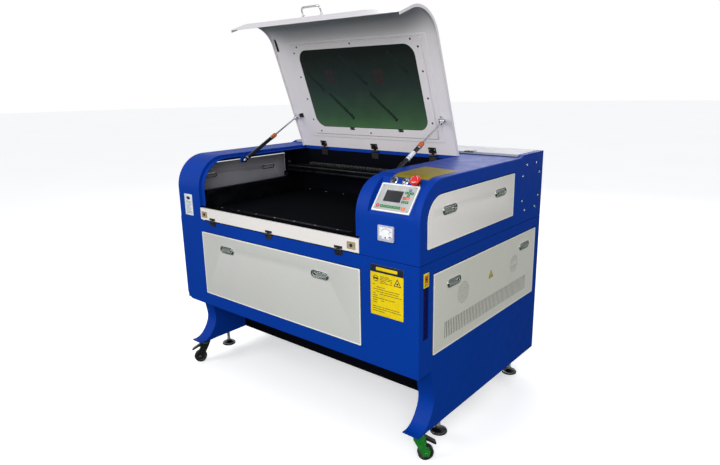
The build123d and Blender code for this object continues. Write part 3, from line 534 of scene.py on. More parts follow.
def two_tone(name, col, dark, origin, direction, start, z_min):
    """Enamelled fork whose brake pedal is black: past start metres along direction and above z_min."""
    M = Mat(name)
    sub = M.n.new("ShaderNodeVectorMath")
    sub.operation = "SUBTRACT"
    M.link(M.co, sub.inputs[0])
    sub.inputs[1].default_value = origin
    dot = M.n.new("ShaderNodeVectorMath")
    dot.operation = "DOT_PRODUCT"
    M.link(sub.outputs["Vector"], dot.inputs[0])
    dot.inputs[1].default_value = direction
    along = dot.outputs["Value"]
    sep = M.n.new("ShaderNodeSeparateXYZ")
    M.link(M.co, sep.inputs[0])
    mask = M.math("MULTIPLY", M.span(along, 0.0, 1.0, start, start + 0.0006), M.span(sep.outputs["Z"], 0.0, 1.0, z_min, z_min + 0.0006))
    base = M.mix(mask, M.mix(M.span(M.noise(60.0, 4.0), 0.0, 1.0, 0.35, 0.7), scaled(col, 0.8), scaled(col, 1.2)), dark)
    nrm, edge = M.edge(0.0008)
    base = M.mix(M.math("MULTIPLY", M.span(edge, 0.0, 1.0, 0.03, 0.3), M.span(M.noise(120.0, 3.0), 0.0, 0.8, 0.4, 0.7)), base, srgb(150, 160, 150))
    return M.out(base, M.span(M.noise(40.0, 4.0), 0.24, 0.42, 0.3, 0.8), M.bump(M.noise(300.0, 2.0), 0.1, 0.0003, nrm), coat=0.3, coat_rough=0.12)


m_fork_fr = two_tone("green_fork_black_pedal", srgb(30, 122, 42), srgb(18, 16, 18), (0.665, -0.4655, 0.0), (0.70711, 0.70711, 0.0), 0.0285, 0.062)
m_forkdark = paint("dark_fork_enamel", srgb(20, 24, 22), rough=0.32, coat=0.3, vary=0.15, wear_and_edge_highlight=0.8, wear_and_edge_highlight_col=srgb(110, 112, 110))
m_tread = plastic("nylon_tread", srgb(20, 20, 20), rough=0.48, grain=0.3, dust=0.35, wear_and_edge_highlight=0.2)
m_pad = plastic("foot_rubber", srgb(18, 18, 18), rough=0.34, coat=0.15, grain=0.2, dust=0.15)
m_gasket = plastic("gasket_rubber", srgb(28, 30, 28), rough=0.6, grain=0.3)
m_belt = plastic("belt_rubber", srgb(22, 22, 22), rough=0.62, grain=0.5, grain_scale=260)
m_void = plastic("shadowed_hole", srgb(3, 3, 4), rough=0.9, grain=0.1, dust=0.0, wear_and_edge_highlight=0.0)


def acrylic(name):
    """Tinted polycarbonate with a painted reflection of a green floor, greener and lighter low on the pane and darker
    higher up, and faint handling marks.
    """
    M = Mat(name)
    sep = M.n.new("ShaderNodeSeparateXYZ")
    M.link(M.co, sep.inputs[0])
    z = sep.outputs["Z"]
    haze = M.noise(9.0, 4.0, 0.6)
    # painted reflection: greener and lighter towards the bottom of the pane, darker towards the top
    base = M.ramp(M.math("ADD", M.span(z, 0.0, 1.0, 1.16, 1.56), M.math("MULTIPLY", M.math("SUBTRACT", haze, 0.5), 0.22)),
                  [(0.0, srgb(74, 112, 74)), (0.20, srgb(58, 86, 62)), (0.50, srgb(40, 54, 50)), (0.9, srgb(24, 30, 28))])
    r = M.span(M.noise(40.0, 4.0, 0.7), 0.34, 0.46, 0.35, 0.8)
    nrm = M.bump(M.noise(5.0, 2.0), 0.03, 0.004)
    return M.out(base, r, nrm, coat=0.0, coat_rough=0.05, spec=0.35)


def glass(name):
    M = Mat(name)
    haze = M.noise(30.0, 4.0)
    return M.out(M.ramp(haze, [(0.3, (0.90, 0.95, 0.95, 1)), (0.7, (0.97, 0.99, 0.99, 1))]), M.span(haze, 0.02, 0.06, 0.3, 0.7), None, trans=1.0, ior=1.47)


def screen(name):
    """The display: dark glass, its colour mottled slightly lighter in patches as a faint painted glow."""
    M = Mat(name)
    haze = M.noise(60.0, 3.0)
    base = M.ramp(haze, [(0.3, srgb(8, 9, 14)), (0.7, srgb(16, 18, 26))])
    return M.out(base, M.span(haze, 0.06, 0.14, 0.3, 0.7), M.bump(M.noise(40.0, 2.0), 0.02, 0.001), coat=0.8, coat_rough=0.04)


m_window_reflection = acrylic("tinted_window_painted_reflection")
m_glass = glass("tube_glass")
m_screen = screen("display_glass")


def floor_mat():
    M = Mat("studio_floor")
    return M.out(M.ramp(M.noise(0.6, 2.0), [(0.3, (0.84, 0.84, 0.84, 1)), (0.7, (0.87, 0.87, 0.87, 1))]), 0.8, M.bump(M.noise(90.0, 3.0), 0.05, 0.001), spec=0.05, emit=0.42, emit_color=(1, 1, 1, 1))


def honeycomb(name):
    """Bed honeycomb seen from above: cells painted near black as painted shade in the holes, with thin brighter walls.
    """
    M = Mat(name)
    v = M.n.new("ShaderNodeTexVoronoi")
    v.feature = "DISTANCE_TO_EDGE"
    v.inputs["Scale"].default_value = 150.0
    v.inputs["Randomness"].default_value = 0.15
    M.link(M.co, v.inputs["Vector"])
    wall = M.ramp(v.outputs["Distance"], [(0.0, (1, 1, 1, 1)), (0.09, (0, 0, 0, 1))])
    # dark cells: painted shade in the holes
    base = M.mix(wall, srgb(3, 4, 7), srgb(20, 22, 30))
    base = M.mix(M.span(M.noise(8.0, 4.0), 0.0, 0.5, 0.5, 0.8), base, srgb(10, 9, 9))
    return M.out(base, 0.75, M.bump(wall, 0.5, 0.001), spec=0.03)


m_comb = honeycomb("bed_honeycomb")


def dress(node, *mats):
    """Gives a carried-over CAD node its materials, slot by slot."""
    me = N[node].data
    if not me.materials:
        me.materials.append(mats[0])
    for i in range(len(me.materials)):
        me.materials[i] = mats[min(i, len(mats) - 1)]


# ------------------------------------------------------------------ camera, floor, light
cam_data = bpy.data.cameras.new("camera")
cam_data.lens = 29.04
cam_data.sensor_width = 36.0
cam_data.clip_end = 200.0
cam = bpy.data.objects.new("camera", cam_data)
bpy.context.scene.collection.objects.link(cam)
fwd = Vector((-0.623730, 0.741054, -0.248594))
rgt = Vector((0.767935, 0.640271, -0.018136))
up = Vector((-0.145728, 0.202216, 0.968438))
cam.matrix_world = Matrix(((rgt.x, up.x, -fwd.x, 1.75324), (rgt.y, up.y, -fwd.y, -2.07491), (rgt.z, up.z, -fwd.z, 1.39292), (0, 0, 0, 1)))
bpy.context.scene.camera = cam

bm = bmesh.new()
bmesh.ops.create_circle(bm, cap_ends=True, radius=40.0, segments=64)
me = bpy.data.meshes.new("studio_floor")
bm.to_mesh(me)
bm.free()
me.materials.append(floor_mat())
floor = bpy.data.objects.new("studio_floor", me)
bpy.context.scene.collection.objects.link(floor)

for flag in ("visible_diffuse", "visible_glossy", "visible_shadow"):
    setattr(floor, flag, False)

# Soft overhead light, a pale band at the horizon, and a dim green-grey workshop floor below.
world = bpy.data.worlds.new("studio")
world.use_nodes = True
wt = world.node_tree
wn = wt.nodes
bg = wn["Background"]
wc = wn.new("ShaderNodeTexCoord")
ws = wn.new("ShaderNodeSeparateXYZ")
wr = wn.new("ShaderNodeMapRange")
wr.inputs["From Min"].default_value = -1.0
wr.inputs["From Max"].default_value = 1.0
wramp = wn.new("ShaderNodeValToRGB")
e = wramp.color_ramp.elements
e[0].position, e[0].color = 0.0, (0.05, 0.07, 0.05, 1)
e[1].position, e[1].color = 1.0, (0.62, 0.63, 0.66, 1)
for pos, col in ((0.44, (0.06, 0.09, 0.06, 1)), (0.474, (0.30, 0.32, 0.30, 1)), (0.480, (1.0, 1.0, 1.0, 1)), (0.575, (1.0, 1.0, 1.0, 1)), (0.62, (0.50, 0.51, 0.53, 1))):
    x = e.new(pos)
    x.color = col
wt.links.new(wc.outputs["Generated"], ws.inputs[0])
wt.links.new(ws.outputs["Z"], wr.inputs["Value"])
wt.links.new(wr.outputs["Result"], wramp.inputs["Fac"])
wt.links.new(wramp.outputs["Color"], bg.inputs["Color"])
bg.inputs["Strength"].default_value = 1.0
bpy.context.scene.world = world


def area(name, loc, target, size, power, col=(1, 1, 1), size_y=None):
    d = bpy.data.lights.new(name, "AREA")
    d.energy = power
    d.color = col
    d.size = size
    if size_y:
        d.shape = "RECTANGLE"
        d.size_y = size_y
    ob = bpy.data.objects.new(name, d)
    bpy.context.scene.collection.objects.link(ob)
    ob.location = loc
    ob.rotation_euler = (Vector(target) - Vector(loc)).to_track_quat("-Z", "Y").to_euler()
    return ob


area("key", (-1.8, -3.6, 3.0), (0.0, -0.3, 0.7), 2.2, 60)
area("fill", (2.6, -3.4, 2.2), (0.2, 0.0, 0.9), 2.2, 95)
area("rim", (-1.2, 3.4, 3.0), (0.0, 0.2, 0.8), 2.6, 60)

bpy.context.scene.view_settings.view_transform = "Standard"
bpy.context.scene.view_settings.look = "None"


# ------------------------------------------------------------------ materials on the carried-over CAD nodes
for name in ("left_leg", "right_leg", "lower_front_frame", "lower_left_side", "lower_right_side", "back_panel",
             "left_console", "right_console", "lid_ledges", "rear_deck", "cabinet_floor"):
    dress(name, m_blue)
# The rear bulkhead, the partitions and the cross panel are blue panels in shadow, coloured near black as painted shade.
for name in ("rear_bulkhead", "left_partition", "right_partition", "cross_panel"):
    dress(name, m_shade_dark)
for name in ("front_door", "right_upper_door", "right_lower_door", "left_upper_door", "left_lower_door"):
    dress(name, m_white)
dress("front_flap", m_flap_lit)
dress("tube_lid", m_tubelid)
for name in ("lid_shell", "window_frame"):
    dress(name, m_lid)
for name in ("hinge_bases", "lid_hinge_leaves", "flap_hinge_leaves"):
    dress(name, m_hinge)
dress("window_pane", m_window_reflection)
dress("lid_handle", m_chrome)
dress("strut_studs", m_chrome)
dress("laser_tube", m_glass)
dress("y_rails", m_rail)
dress("lift_posts", m_steel)
dress("work_bed", m_comb)
dress("gantry", m_beam)
dress("laser_head", m_beam)
dress("power_inlet", m_inlet)
dress("control_panel", m_panelgrey)
dress("ammeter", m_meter)
dress("estop_button", m_red)
dress("start_button", m_knob)
dress("key_switch", m_chrome)
dress("levelling_feet", m_pad)
for side in ("left", "right"):
    dress(side + "_strut_tube", m_tube)
    dress(side + "_strut_rod", m_rod)
for name in ("front_door_latches", "right_upper_latches", "right_lower_latches", "left_upper_latches", "left_lower_latches"):
    dress(name, m_chrome)
for name in ("front_left", "front_right", "rear_left", "rear_right"):
    dress(name + "_fork", m_fork_fr if name == "front_right" else m_forkdark)
    dress(name + "_wheel", m_tread)


# ------------------------------------------------------------------ shared small parts
def T(x=0.0, y=0.0, z=0.0, rot=0.0):
    return Matrix.Translation((x, y, z)) @ Matrix.Rotation(math.radians(rot), 4, "Z")


def screw(piece, m, r=3.4, h=1.6, head=m_steel, turn=0.0):
    """A cross-recess pan head screw standing on z = 0 of m, with its washer."""
    mm = m @ T(rot=turn)
    piece.add(plate([ring(0, 0, r, 18), cross(r * 0.62, r * 0.30)], 0.05, h, min(0.45, h * 0.3), 1), head, mm)
    piece.add(plate([ring(0, 0, r * 0.8, 14)], 0.0, h * 0.35), m_void, mm)
    piece.add(plate([ring(0, 0, r * 1.45, 20), ring(0, 0, r * 0.75, 12)], 0.0, 0.35, 0.1, 1), head, mm)


def bars(piece, m, x0, x1, ys, h, mat, z0, z1, seed=1, indent=0.0):
    """Plain grey bars where a label would carry lines: no letters."""
    rnd = random.Random(seed)
    for y in ys:
        x = x0 + rnd.random() * indent
        while x < x1 - 3:
            w = min(rnd.uniform(9, 26), x1 - x)
            if rnd.random() < 0.9:
                piece.add(plate([rrect(x, y, x + w, y + h, 0.4, 2)], z0, z1), mat, m)
            x += w + 2.2
            if rnd.random() < 0.18:
                break


def hexnut(r, h, hole=0.0):
    loops = [[(r * math.cos(math.radians(60 * i)), r * math.sin(math.radians(60 * i))) for i in range(6)]]
    if hole:
        loops.append(ring(0, 0, hole, 20))
    return plate(loops, 0, h, min(0.6, h * 0.2), 2)


# ------------------------------------------------------------------ doors: folded plates whose rims carry a painted highlight
def rim(outline_fn, w):
    return [outline_fn(0.0), outline_fn(w)]


m_filter = plastic("vent_filter_mesh", srgb(9, 9, 11), rough=0.9, coat=0.0, dust=0.15, dust_col=srgb(24, 24, 24))


def door(name, node, m, fn, mat, holes=(), width=5.0, slot="white_paint", inner=None, latch=()):
    """fn(inset) gives the outline; z = 0 is the outer face and the plate is 3 mm thick."""
    p = Piece(name, node, slot)
    cut = [pill(cx, cz, 88.0, 24.0) for cx, cz in latch]
    if holes:
        p.add(plate([fn(0.0)] + cut + list(holes), -1.3, 0.0, 0.0, 3), mat, m)
        p.add(plate([fn(0.0), fn(7.0)], -3.0, -1.3, 0.3, 2), mat, m)
        side = 1 if name.startswith("right") else -1
        p.add(plate([rrect(min(side * 158, side * 868), 456, max(side * 158, side * 868), 540, 4.0)], -2.6, -1.9, 0.2, 1), m_filter, m)
        p.add(plate([ring(side * 299, 611, 50, 40)], -2.6, -1.9, 0.2, 1), m_filter, m)
        p.add(plate([ring(side * 734, 614, 47, 40)], -2.6, -1.9, 0.2, 1), m_filter, m)
    else:
        p.add(plate([fn(0.0)] + cut, -3.0, 0.0, 0.6, 3), mat, m)
    if inner is not None:
        # the inner face in a darker colour, given as painted shade
        p.add(plate([fn(3.0)] + cut, -3.35, -3.0, 0.1, 1), inner, m)
    # a raised strip round the edge in brighter white: a painted highlight on the fold
    p.add(plate([fn(0.35), fn(width)], -0.4, 0.55, 0.3, 2), m_rim_highlight_and_print, m)
    return p.done(node)


FD = front(0, 0, -2.0)
FRONT_L = ((350.5, 667), (932.5, 667))
UPPER_L = ((186, 957), (575, 957))
LOWER_L = ((226, 676), (826, 678))


def flip(spots):
    return tuple((-a, b) for a, b in spots)


door("front_door_sheet", "front_door", FD, lambda i: rrect(167 + i, 423 + i, 1137 - i, 729 - i, 3.0), m_white, latch=FRONT_L)
RU, LU = right(0, 0, 1402.0), left(0, 0, -2.0)


def upper(sign):
    def fn(i):
        a, b = (48 + i, 701 - i)
        if sign > 0:
            return rrect(a, 836 + i, b, 1018 - i, (3, 3, 3, 90 - i))
        return rrect(-b, 836 + i, -a, 1018 - i, (3, 3, 90 - i, 3))
    return fn


def lower(sign):
    def fn(i):
        if sign > 0:
            return rrect(91 + i, 426 + i, 943 - i, 737 - i, 3)
        return rrect(-943 + i, 426 + i, -91 - i, 737 - i, 3)
    return fn


door("right_upper_door_sheet", "right_upper_door", RU, upper(1), m_white_lit_upper, latch=UPPER_L)
door("left_upper_door_sheet", "left_upper_door", LU, upper(-1), m_white_lit_upper, inner=m_inner_white_shade, latch=flip(UPPER_L))


def vents(sign):
    holes = []
    n = 58
    for i in range(n):
        y = 170 + (855 - 170) * i / (n - 1)
        holes.append(rrect(sign * y - 2.7, 464, sign * y + 2.7, 532, 2.2, 3))
    for r in range(-5, 6):
        for c in range(-6, 7):
            y, z = c * 9.0 + (r % 2) * 4.5, r * 7.8
            if y * y + z * z < 43 * 43:
                holes.append(ring(sign * 299 + y, 611 + z, 2.8, 8))
    for c in range(-4, 5):
        y = c * 8.6
        half = math.sqrt(max(40 * 40 - y * y, 0))
        if half > 9:
            k = 1 if half < 24 else 2
            for q in range(k):
                z0 = -half + q * half + (1.6 if q else 0)
                z1 = z0 + half * (2 if k == 1 else 1) - 1.6
                holes.append(rrect(sign * 734 + y - 1.9, 614 + z0, sign * 734 + y + 1.9, 614 + z1, 1.6, 2))
    return holes


door("right_lower_door_sheet", "right_lower_door", RU, lower(1), m_white_lit_lower, vents(1), latch=LOWER_L)
door("left_lower_door_sheet", "left_lower_door", LU, lower(-1), m_white_lit_lower, vents(-1), latch=flip(LOWER_L))

# A plain hazard triangle: yellow film, dark border, no words.
for name, m, s in (("right_lower_door", RU, 1), ("left_lower_door", LU, -1)):
    p = Piece(name + "_triangle", name, "white_paint")
    tri = [(s * 520 - 19, 610), (s * 520 + 19, 610), (s * 520, 643)]
    tri_in = [(s * 520 - 13.5, 613), (s * 520 + 13.5, 613), (s * 520, 637)]
    p.add(plate([tri, tri_in], 0.02, 0.5, 0.1, 1), m_ink, m)
    p.add(plate([tri_in], 0.02, 0.45), m_yellow, m)
    p.add(plate([ring(s * 520, 620, 4.0, 20)], 0.3, 0.62), m_ink, m)
    p.done()


# ------------------------------------------------------------------ push latches
def latches(prefix, node, m, spots, ends):
    """A chrome pill bezel that stays on the door and a grey paddle with its black button that presses in."""
    bezel = Piece(prefix + "_latch_bezels", prefix + "_door" if prefix != "front" else "front_door", "chrome")
    paddle = Piece(prefix + "_latch_paddles", node, "chrome")
    for (cx, cz), end in zip(spots, ends):
        bezel.add(plate([pill(cx, cz, 97, 33), pill(cx, cz, 87.2, 23.2)], 0.0, 3.0, 1.1, 3), m_chrome, m)
        paddle.add(plate([pill(cx, cz, 86, 22), pill(cx, cz, 75, 14)], -5.0, 4.0, 0.7, 2), m_chrome, m)
        paddle.add(plate([pill(cx, cz, 75.4, 14.4)], -5.0, 1.4), m_latch, m)
        b = cx + end * 26
        s0, s1 = sorted((cx - end * 31, cx + end * 12))
        paddle.add(plate([rrect(s0, cz - 4.6, s1, cz + 4.6, 2.2)], 1.0, 2.9, 0.6, 2), m_latch, m)
        for k in range(5):
            x = s0 + 6 + k * 7.4
            paddle.add(plate([rrect(x - 0.6, cz - 3.2, x + 0.6, cz + 3.2, 0.5, 2)], 2.6, 3.3, 0.15, 1), m_void, m)
        paddle.add(lathe([(0, 1.0), (7.4, 1.0), (7.4, 3.2), (6.4, 3.9), (5.6, 3.9), (5.4, 3.2), (0, 3.2)], 28), m_chrome, m @ T(b, cz))
        paddle.add(dome(5.2, 3.4, 1.6, 1.6, 24, 5), m_knob, m @ T(b, cz))
    bezel.done()
    paddle.done(node)


latches("front", "front_door_latches", FD, FRONT_L, (1, -1))
latches("right_upper", "right_upper_latches", RU, UPPER_L, (1, -1))
latches("right_lower", "right_lower_latches", RU, LOWER_L, (1, -1))
latches("left_upper", "left_upper_latches", LU, flip(UPPER_L), (-1, 1))
latches("left_lower", "left_lower_latches", LU, flip(LOWER_L), (-1, 1))

# ------------------------------------------------------------------ front flap: lock plates and hinge screws
p = Piece("flap_lock_plates", "front_flap", "chrome")
for cx in (196.5, 1097.5):
    m = front(cx, 814.5, -1.0)
    p.add(plate([rrect(-20.5, -14.5, 20.5, 14.5, 2.0), ring(0, 0, 7.0, 28)], 0.0, 1.5, 0.4, 2), m_plug, m)
    p.add(lathe([(0, 0.2), (7.0, 0.2), (7.0, 2.2), (6.2, 2.8), (4.4, 2.8), (4.2, 1.0), (0, 1.0)], 28), m_black, m)
    p.add(plate([rrect(-0.9, -3.4, 0.9, 3.4, 0.6)], 0.8, 1.5), m_void, m)
    for dx in (-16, 16):
        screw(p, m @ T(dx, 0, 1.4), 1.7, 0.8, m_steel, 20)
p.done()
p = Piece("flap_hinge_screws", "front_flap", "black_hinge")
q = Piece("sill_hinge_screws", "cabinet", "black_hinge")
for cx in (255, 641, 1033):
    for dx in (-10, 10):
        screw(p, front(cx + dx, 798.0, -3.0), 2.2, 0.9, m_black, dx * 3)
        screw(q, front(cx + dx, 773.0, -2.0), 2.2, 0.9, m_black, dx * 5)
p.done()
q.done()

# ------------------------------------------------------------------ labels: plain shapes only
p = Piece("front_notice_film", "cabinet", "panel_plastic")
m = front(1187, 570, 0.0)
p.add(plate([rrect(0, 0, 147, 193, 2.0)], 0.0, 0.45, 0.15, 1), m_yellow, m)
p.add(plate([rrect(0, 164, 147, 193, (0, 0, 2.0, 2.0))], 0.3, 0.62, 0.1, 1), m_ink, m)
p.add(plate([rrect(26, 172, 121, 184, 3)], 0.5, 0.75, 0.08, 1), m_yellow, m)
p.add(plate([ring(24, 141, 12, 28), ring(24, 141, 9.5, 28)], 0.3, 0.6, 0.08, 1), m_ink, m)
p.add(plate([rrect(15, 138, 33, 144, 2)], 0.3, 0.62), m_ink, m)
tri = [(104, 126), (138, 126), (121, 156)]
tri_in = [(109, 129), (133, 129), (121, 150)]
p.add(plate([tri, tri_in], 0.3, 0.6, 0.08, 1), m_ink, m)
p.add(plate([ring(121, 136, 4, 20)], 0.3, 0.6), m_ink, m)
bars(p, m, 44, 98, [150, 144, 138, 132, 126], 2.6, m_olive_ink, 0.3, 0.58, 3)
bars(p, m, 10, 138, [116 - 8.4 * i for i in range(13)], 2.6, m_olive_ink, 0.3, 0.58, 4)
p.done()

p = Piece("left_pillar_film", "cabinet", "panel_plastic")
m = front(45, 797, 0.0)
p.add(plate([rrect(0, 0, 62, 102, 2.0)], 0.0, 0.45, 0.15, 1), m_label, m)
p.add(plate([[(31 + 14 * math.cos(t) * (1 + 0.12 * math.sin(3 * t)), 83 + 9 * math.sin(t) * (1 + 0.2 * math.cos(2 * t))) for t in [2 * math.pi * i / 30 for i in range(30)]]], 0.3, 0.6, 0.08, 1), m_ink, m)
bars(p, m, 12, 51, [66 - 6.2 * i for i in range(10)], 2.2, m_inkgrey, 0.3, 0.58, 9)
p.done()


def console_z(y):
    return 1075.0 if y >= 150 else 925.0 + math.sqrt(150.0 ** 2 - (150.0 - y) ** 2)


def draped(quad, u0, u1, v0, v1, lift, thick=0.25, nu=8, nv=24):
    """A thin film on the console top that follows its curve. quad corners: front left, rear left, rear right, front right."""
    a, b, c, d = [Vector(q) for q in quad]
    bm = bmesh.new()
    rows = []
    for layer in (0.0, thick):
        grid = []
        for i in range(nv + 1):
            v = v0 + (v1 - v0) * i / nv
            row = []
            for j in range(nu + 1):
                u = u0 + (u1 - u0) * j / nu
                pt = (a * (1 - v) + b * v) * (1 - u) + (d * (1 - v) + c * v) * u
                row.append(bm.verts.new((pt.x, pt.y, console_z(pt.y) + lift + layer)))
            grid.append(row)
        rows.append(grid)
    lo, hi = rows
    for i in range(nv):
        for j in range(nu):
            bm.faces.new((hi[i][j], hi[i][j + 1], hi[i + 1][j + 1], hi[i + 1][j]))
            bm.faces.new((lo[i][j], lo[i + 1][j], lo[i + 1][j + 1], lo[i][j + 1]))
    for i in range(nv):
        bm.faces.new((lo[i][0], hi[i][0], hi[i + 1][0], lo[i + 1][0]))
        bm.faces.new((lo[i][nu], lo[i + 1][nu], hi[i + 1][nu], hi[i][nu]))
    for j in range(nu):
        bm.faces.new((lo[0][j], lo[0][j + 1], hi[0][j + 1], hi[0][j]))
        bm.faces.new((lo[nv][j], hi[nv][j], hi[nv][j + 1], lo[nv][j + 1]))
    bmesh.ops.recalc_face_normals(bm, faces=bm.faces)
    return bm


p = Piece("console_top_film", "cabinet", "panel_plastic")
quad = ((1214, 104), (1201, 330), (1372, 300), (1366, 102))
p.add(draped(quad, 0, 1, 0, 1, 0.0, 0.4), m_olive)
rnd = random.Random(5)
for k in range(9):
    v = 0.10 + 0.085 * k
    if k in (3, 4):
        p.add(draped(quad, 0.10, 0.34, v, v + 0.05, 0.35, 0.15, 3, 2), m_olive_ink)
        p.add(draped(quad, 0.44, 0.88, v, v + 0.022, 0.35, 0.15, 3, 2), m_olive_ink)
    else:
        p.add(draped(quad, 0.10, rnd.uniform(0.5, 0.92), v, v + 0.024, 0.35, 0.15, 3, 2), m_olive_ink)
p.done()

p = Piece("side_slot_film", "cabinet", "panel_plastic")
m = right(44.0, 728.0, 1400.0)
p.add(plate([rrect(-17, -26, 17, 26, 1.5)], 0.0, 0.4, 0.12, 1), m_yellow, m)
p.add(plate([rrect(-11, -10, 11, 18, 1.0)], 0.25, 0.55), m_collar, m)
p.add(plate([ring(0, 4, 4.5, 20)], 0.4, 0.7), m_ink, m)
bars(p, m, -12, 12, [-15, -19, -23], 1.8, m_ink, 0.25, 0.5, 12)
p.done()

# The recess below it: a pan in navy, the blue paint darkened as painted shade, with a black strip down one side as a
# painted shadow.
p = Piece("side_slot_pan", "cabinet", "dark_panel")
m = right(44.0, 602.5, 1397.0)
p.add(plate([rrect(-21, -101, 21, 101, 3.0), rrect(-17.6, -97, 17.6, 97, 2.0)], -9.0, -0.2, 0.8, 2), m_navy_shade, m)
p.add(plate([rrect(-18, -97.5, 18, 97.5, 2.0)], -9.5, -8.0), m_navy_shade, m)
# black strip down one side of the pan: a painted shadow
p.add(plate([rrect(-14, -94, -1, 94, 2.0)], -8.2, -5.5, 0.6, 2), m_black, m)
for k in range(7):
    p.add(plate([rrect(3, -86 + 26 * k, 15, -72 + 26 * k, 1.5)], -8.2, -6.6, 0.3, 1), m_navy_shade, m)
p.done()

# ------------------------------------------------------------------ side cover screws and body screws
p = Piece("cover_screws", "cabinet", "chrome")
for y, z in ((823, 1038), (919, 1038), (787, 992), (956, 992), (790, 883), (956, 885), (819, 839), (924, 839)):
    screw(p, right(y, z), 4.2, 1.7, m_chrome, (y * 7) % 90)
    screw(p, at((0.0, y, z), (0, -1, 0), (0, 0, 1)), 4.2, 1.7, m_chrome, (y * 5) % 90)
for z in (1046, 1000, 700, 560, 420):
    for x in (30, 1370):
        screw(p, back(x, z), 4.0, 1.6, m_steel, z % 90)
for x in (220, 460, 940, 1180):
    screw(p, back(x, 1052), 4.0, 1.6, m_steel, x % 90)
    screw(p, back(x, 385), 4.0, 1.6, m_steel, x % 70)
p.done()


# ------------------------------------------------------------------ control console
p = Piece("keypad_overlay", "cabinet", "panel_plastic")
PX, PS = 1269.0, 72.0
m = facet(PX, PS, 4.0)
SX, SS = -11.5, 6.5
p.add(plate([rrect(-75, -50, 75, 50, 2.5), rrect(SX - 36.6, SS - 22.6, SX + 36.6, SS + 22.6, 1.0)], 0.0, 0.5, 0.15, 1), m_keyboard, m)
p.add(plate([rrect(-81, -56, 81, 56, 3.5), rrect(-76, -51, 76, 51, 3.0)], 0.0, 1.0, 0.35, 2), m_rim_highlight_and_print, m)


def key(x, s, w, h, mat, r=1.6):
    mk = facet(x, s, 4.4)
    p.add(plate([rrect(-w / 2, -h / 2, w / 2, h / 2, r)], 0.0, 1.3, 0.45, 2), mat, mk)
    p.add(plate([rrect(-w * 0.18, -0.6, w * 0.18, 0.6, 0.3, 2)], 1.2, 1.42), m_rim_highlight_and_print, mk)


for dx, ds, mat in ((0, 11.2, m_bluekey), (-12.4, 0, m_green), (12.4, 0, m_green), (0, -11.0, m_green), (0, 0, m_green)):
    key(1318.5 + dx, 97.0 + ds, 11.2, 9.4, mat)
key(1306.5, 75.5, 13, 10, m_redkey)
key(1322.5, 75.5, 13, 10, m_orange)
key(1307.0, 60.5, 13, 10, m_green)
key(1323.0, 60.5, 13, 10, m_green)
key(1208.0, 36.5, 15, 13, m_redkey, 6.0)
for i in range(6):
    key(1225.5 + 14.8 * i, 36.0, 13, 10.5, m_green)
key(1318.5, 34.5, 17, 11, m_orange)
for dx in (-70, 70):
    for ds in (-45, 45):
        if (dx, ds) != (-70, -45):
            screw(p, facet(PX + dx, PS + ds, 4.5), 1.6, 0.7, m_steel, 10)
p.done()

p = Piece("display_glass", "cabinet", "acrylic")
m = facet(PX + SX, PS + SS, 2.5)
p.add(plate([rrect(-37.0, -23.0, 37.0, 23.0, 0.8)], 0.0, 1.3, 0.2, 1), m_screen, m)
p.add(plate([rrect(-36.9, -22.9, 36.9, 22.9, 0.8), rrect(-33.5, -19.5, 33.5, 19.5, 0.6)], 1.2, 1.7, 0.15, 1), m_knob, m)
p.done()

p = Piece("switch_collars", "cabinet", "chrome")
for x, r, mat in ((1230.0, 14.0, m_chrome), (1280.0, 13.0, m_chrome), (1330.0, 15.5, m_knob)):
    mk = facet(x, 142.0, 0.0)
    hole = {1230.0: 10.3, 1280.0: 8.9, 1330.0: 9.4}[x]
    p.add(lathe([(hole, 0.2), (r + 1.5, 0.2), (r + 1.5, 0.9), (r, 1.2), (r, 2.6), (r - 1.0, 3.6), (hole, 3.6), (hole, 0.2)], 40), mat, mk)
p.done()

p = Piece("estop_head", "estop_button", "red_plastic")
mk = facet(1330.0, 142.0, 0.0)
p.add(lathe([(0, 5), (8.9, 5), (8.9, 15), (12.5, 16.2), (18.6, 16.2), (20, 17.4), (20, 20.5), (19.3, 23.0), (17.0, 25.4), (12.5, 27.2), (6.5, 27.9), (0, 28.0)], 48), m_red, mk)
p.add(lathe([(8.85, 5.6), (9.2, 5.6), (9.2, 14.0), (8.85, 14.0), (8.85, 5.6)], 32), m_knob, mk)
for k in range(3):
    a0 = 120 * k
    arcpts = arc(0, 0, 13.6, a0, a0 + 66, 10) + arc(0, 0, 12.2, a0 + 66, a0, 10)
    p.add(plate([arcpts], 26.7, 27.15, 0.1, 1), m_rim_highlight_and_print, mk)
    tip = math.radians(a0 + 80)
    b0 = math.radians(a0 + 66)
    p.add(plate([[(15.0 * math.cos(b0), 15.0 * math.sin(b0)), (12.9 * math.cos(tip), 12.9 * math.sin(tip)), (10.8 * math.cos(b0), 10.8 * math.sin(b0))]], 26.6, 27.2, 0.0), m_rim_highlight_and_print, mk)
p.done("estop_button")

p = Piece("start_knob", "start_button", "button_plastic")
mk = facet(1230.0, 142.0, 0.0)
p.add(lathe([(0, 4.0), (9.9, 4.0), (9.9, 10.2), (9.2, 11.6), (8.0, 12.2), (6.5, 12.6), (3.0, 12.95), (0, 13.0)], 40), m_knob, mk)
p.add(lathe([(8.6, 11.5), (9.3, 11.3), (9.35, 11.7), (8.7, 11.95), (8.6, 11.5)], 36), m_inkgrey, mk)
p.done("start_button")

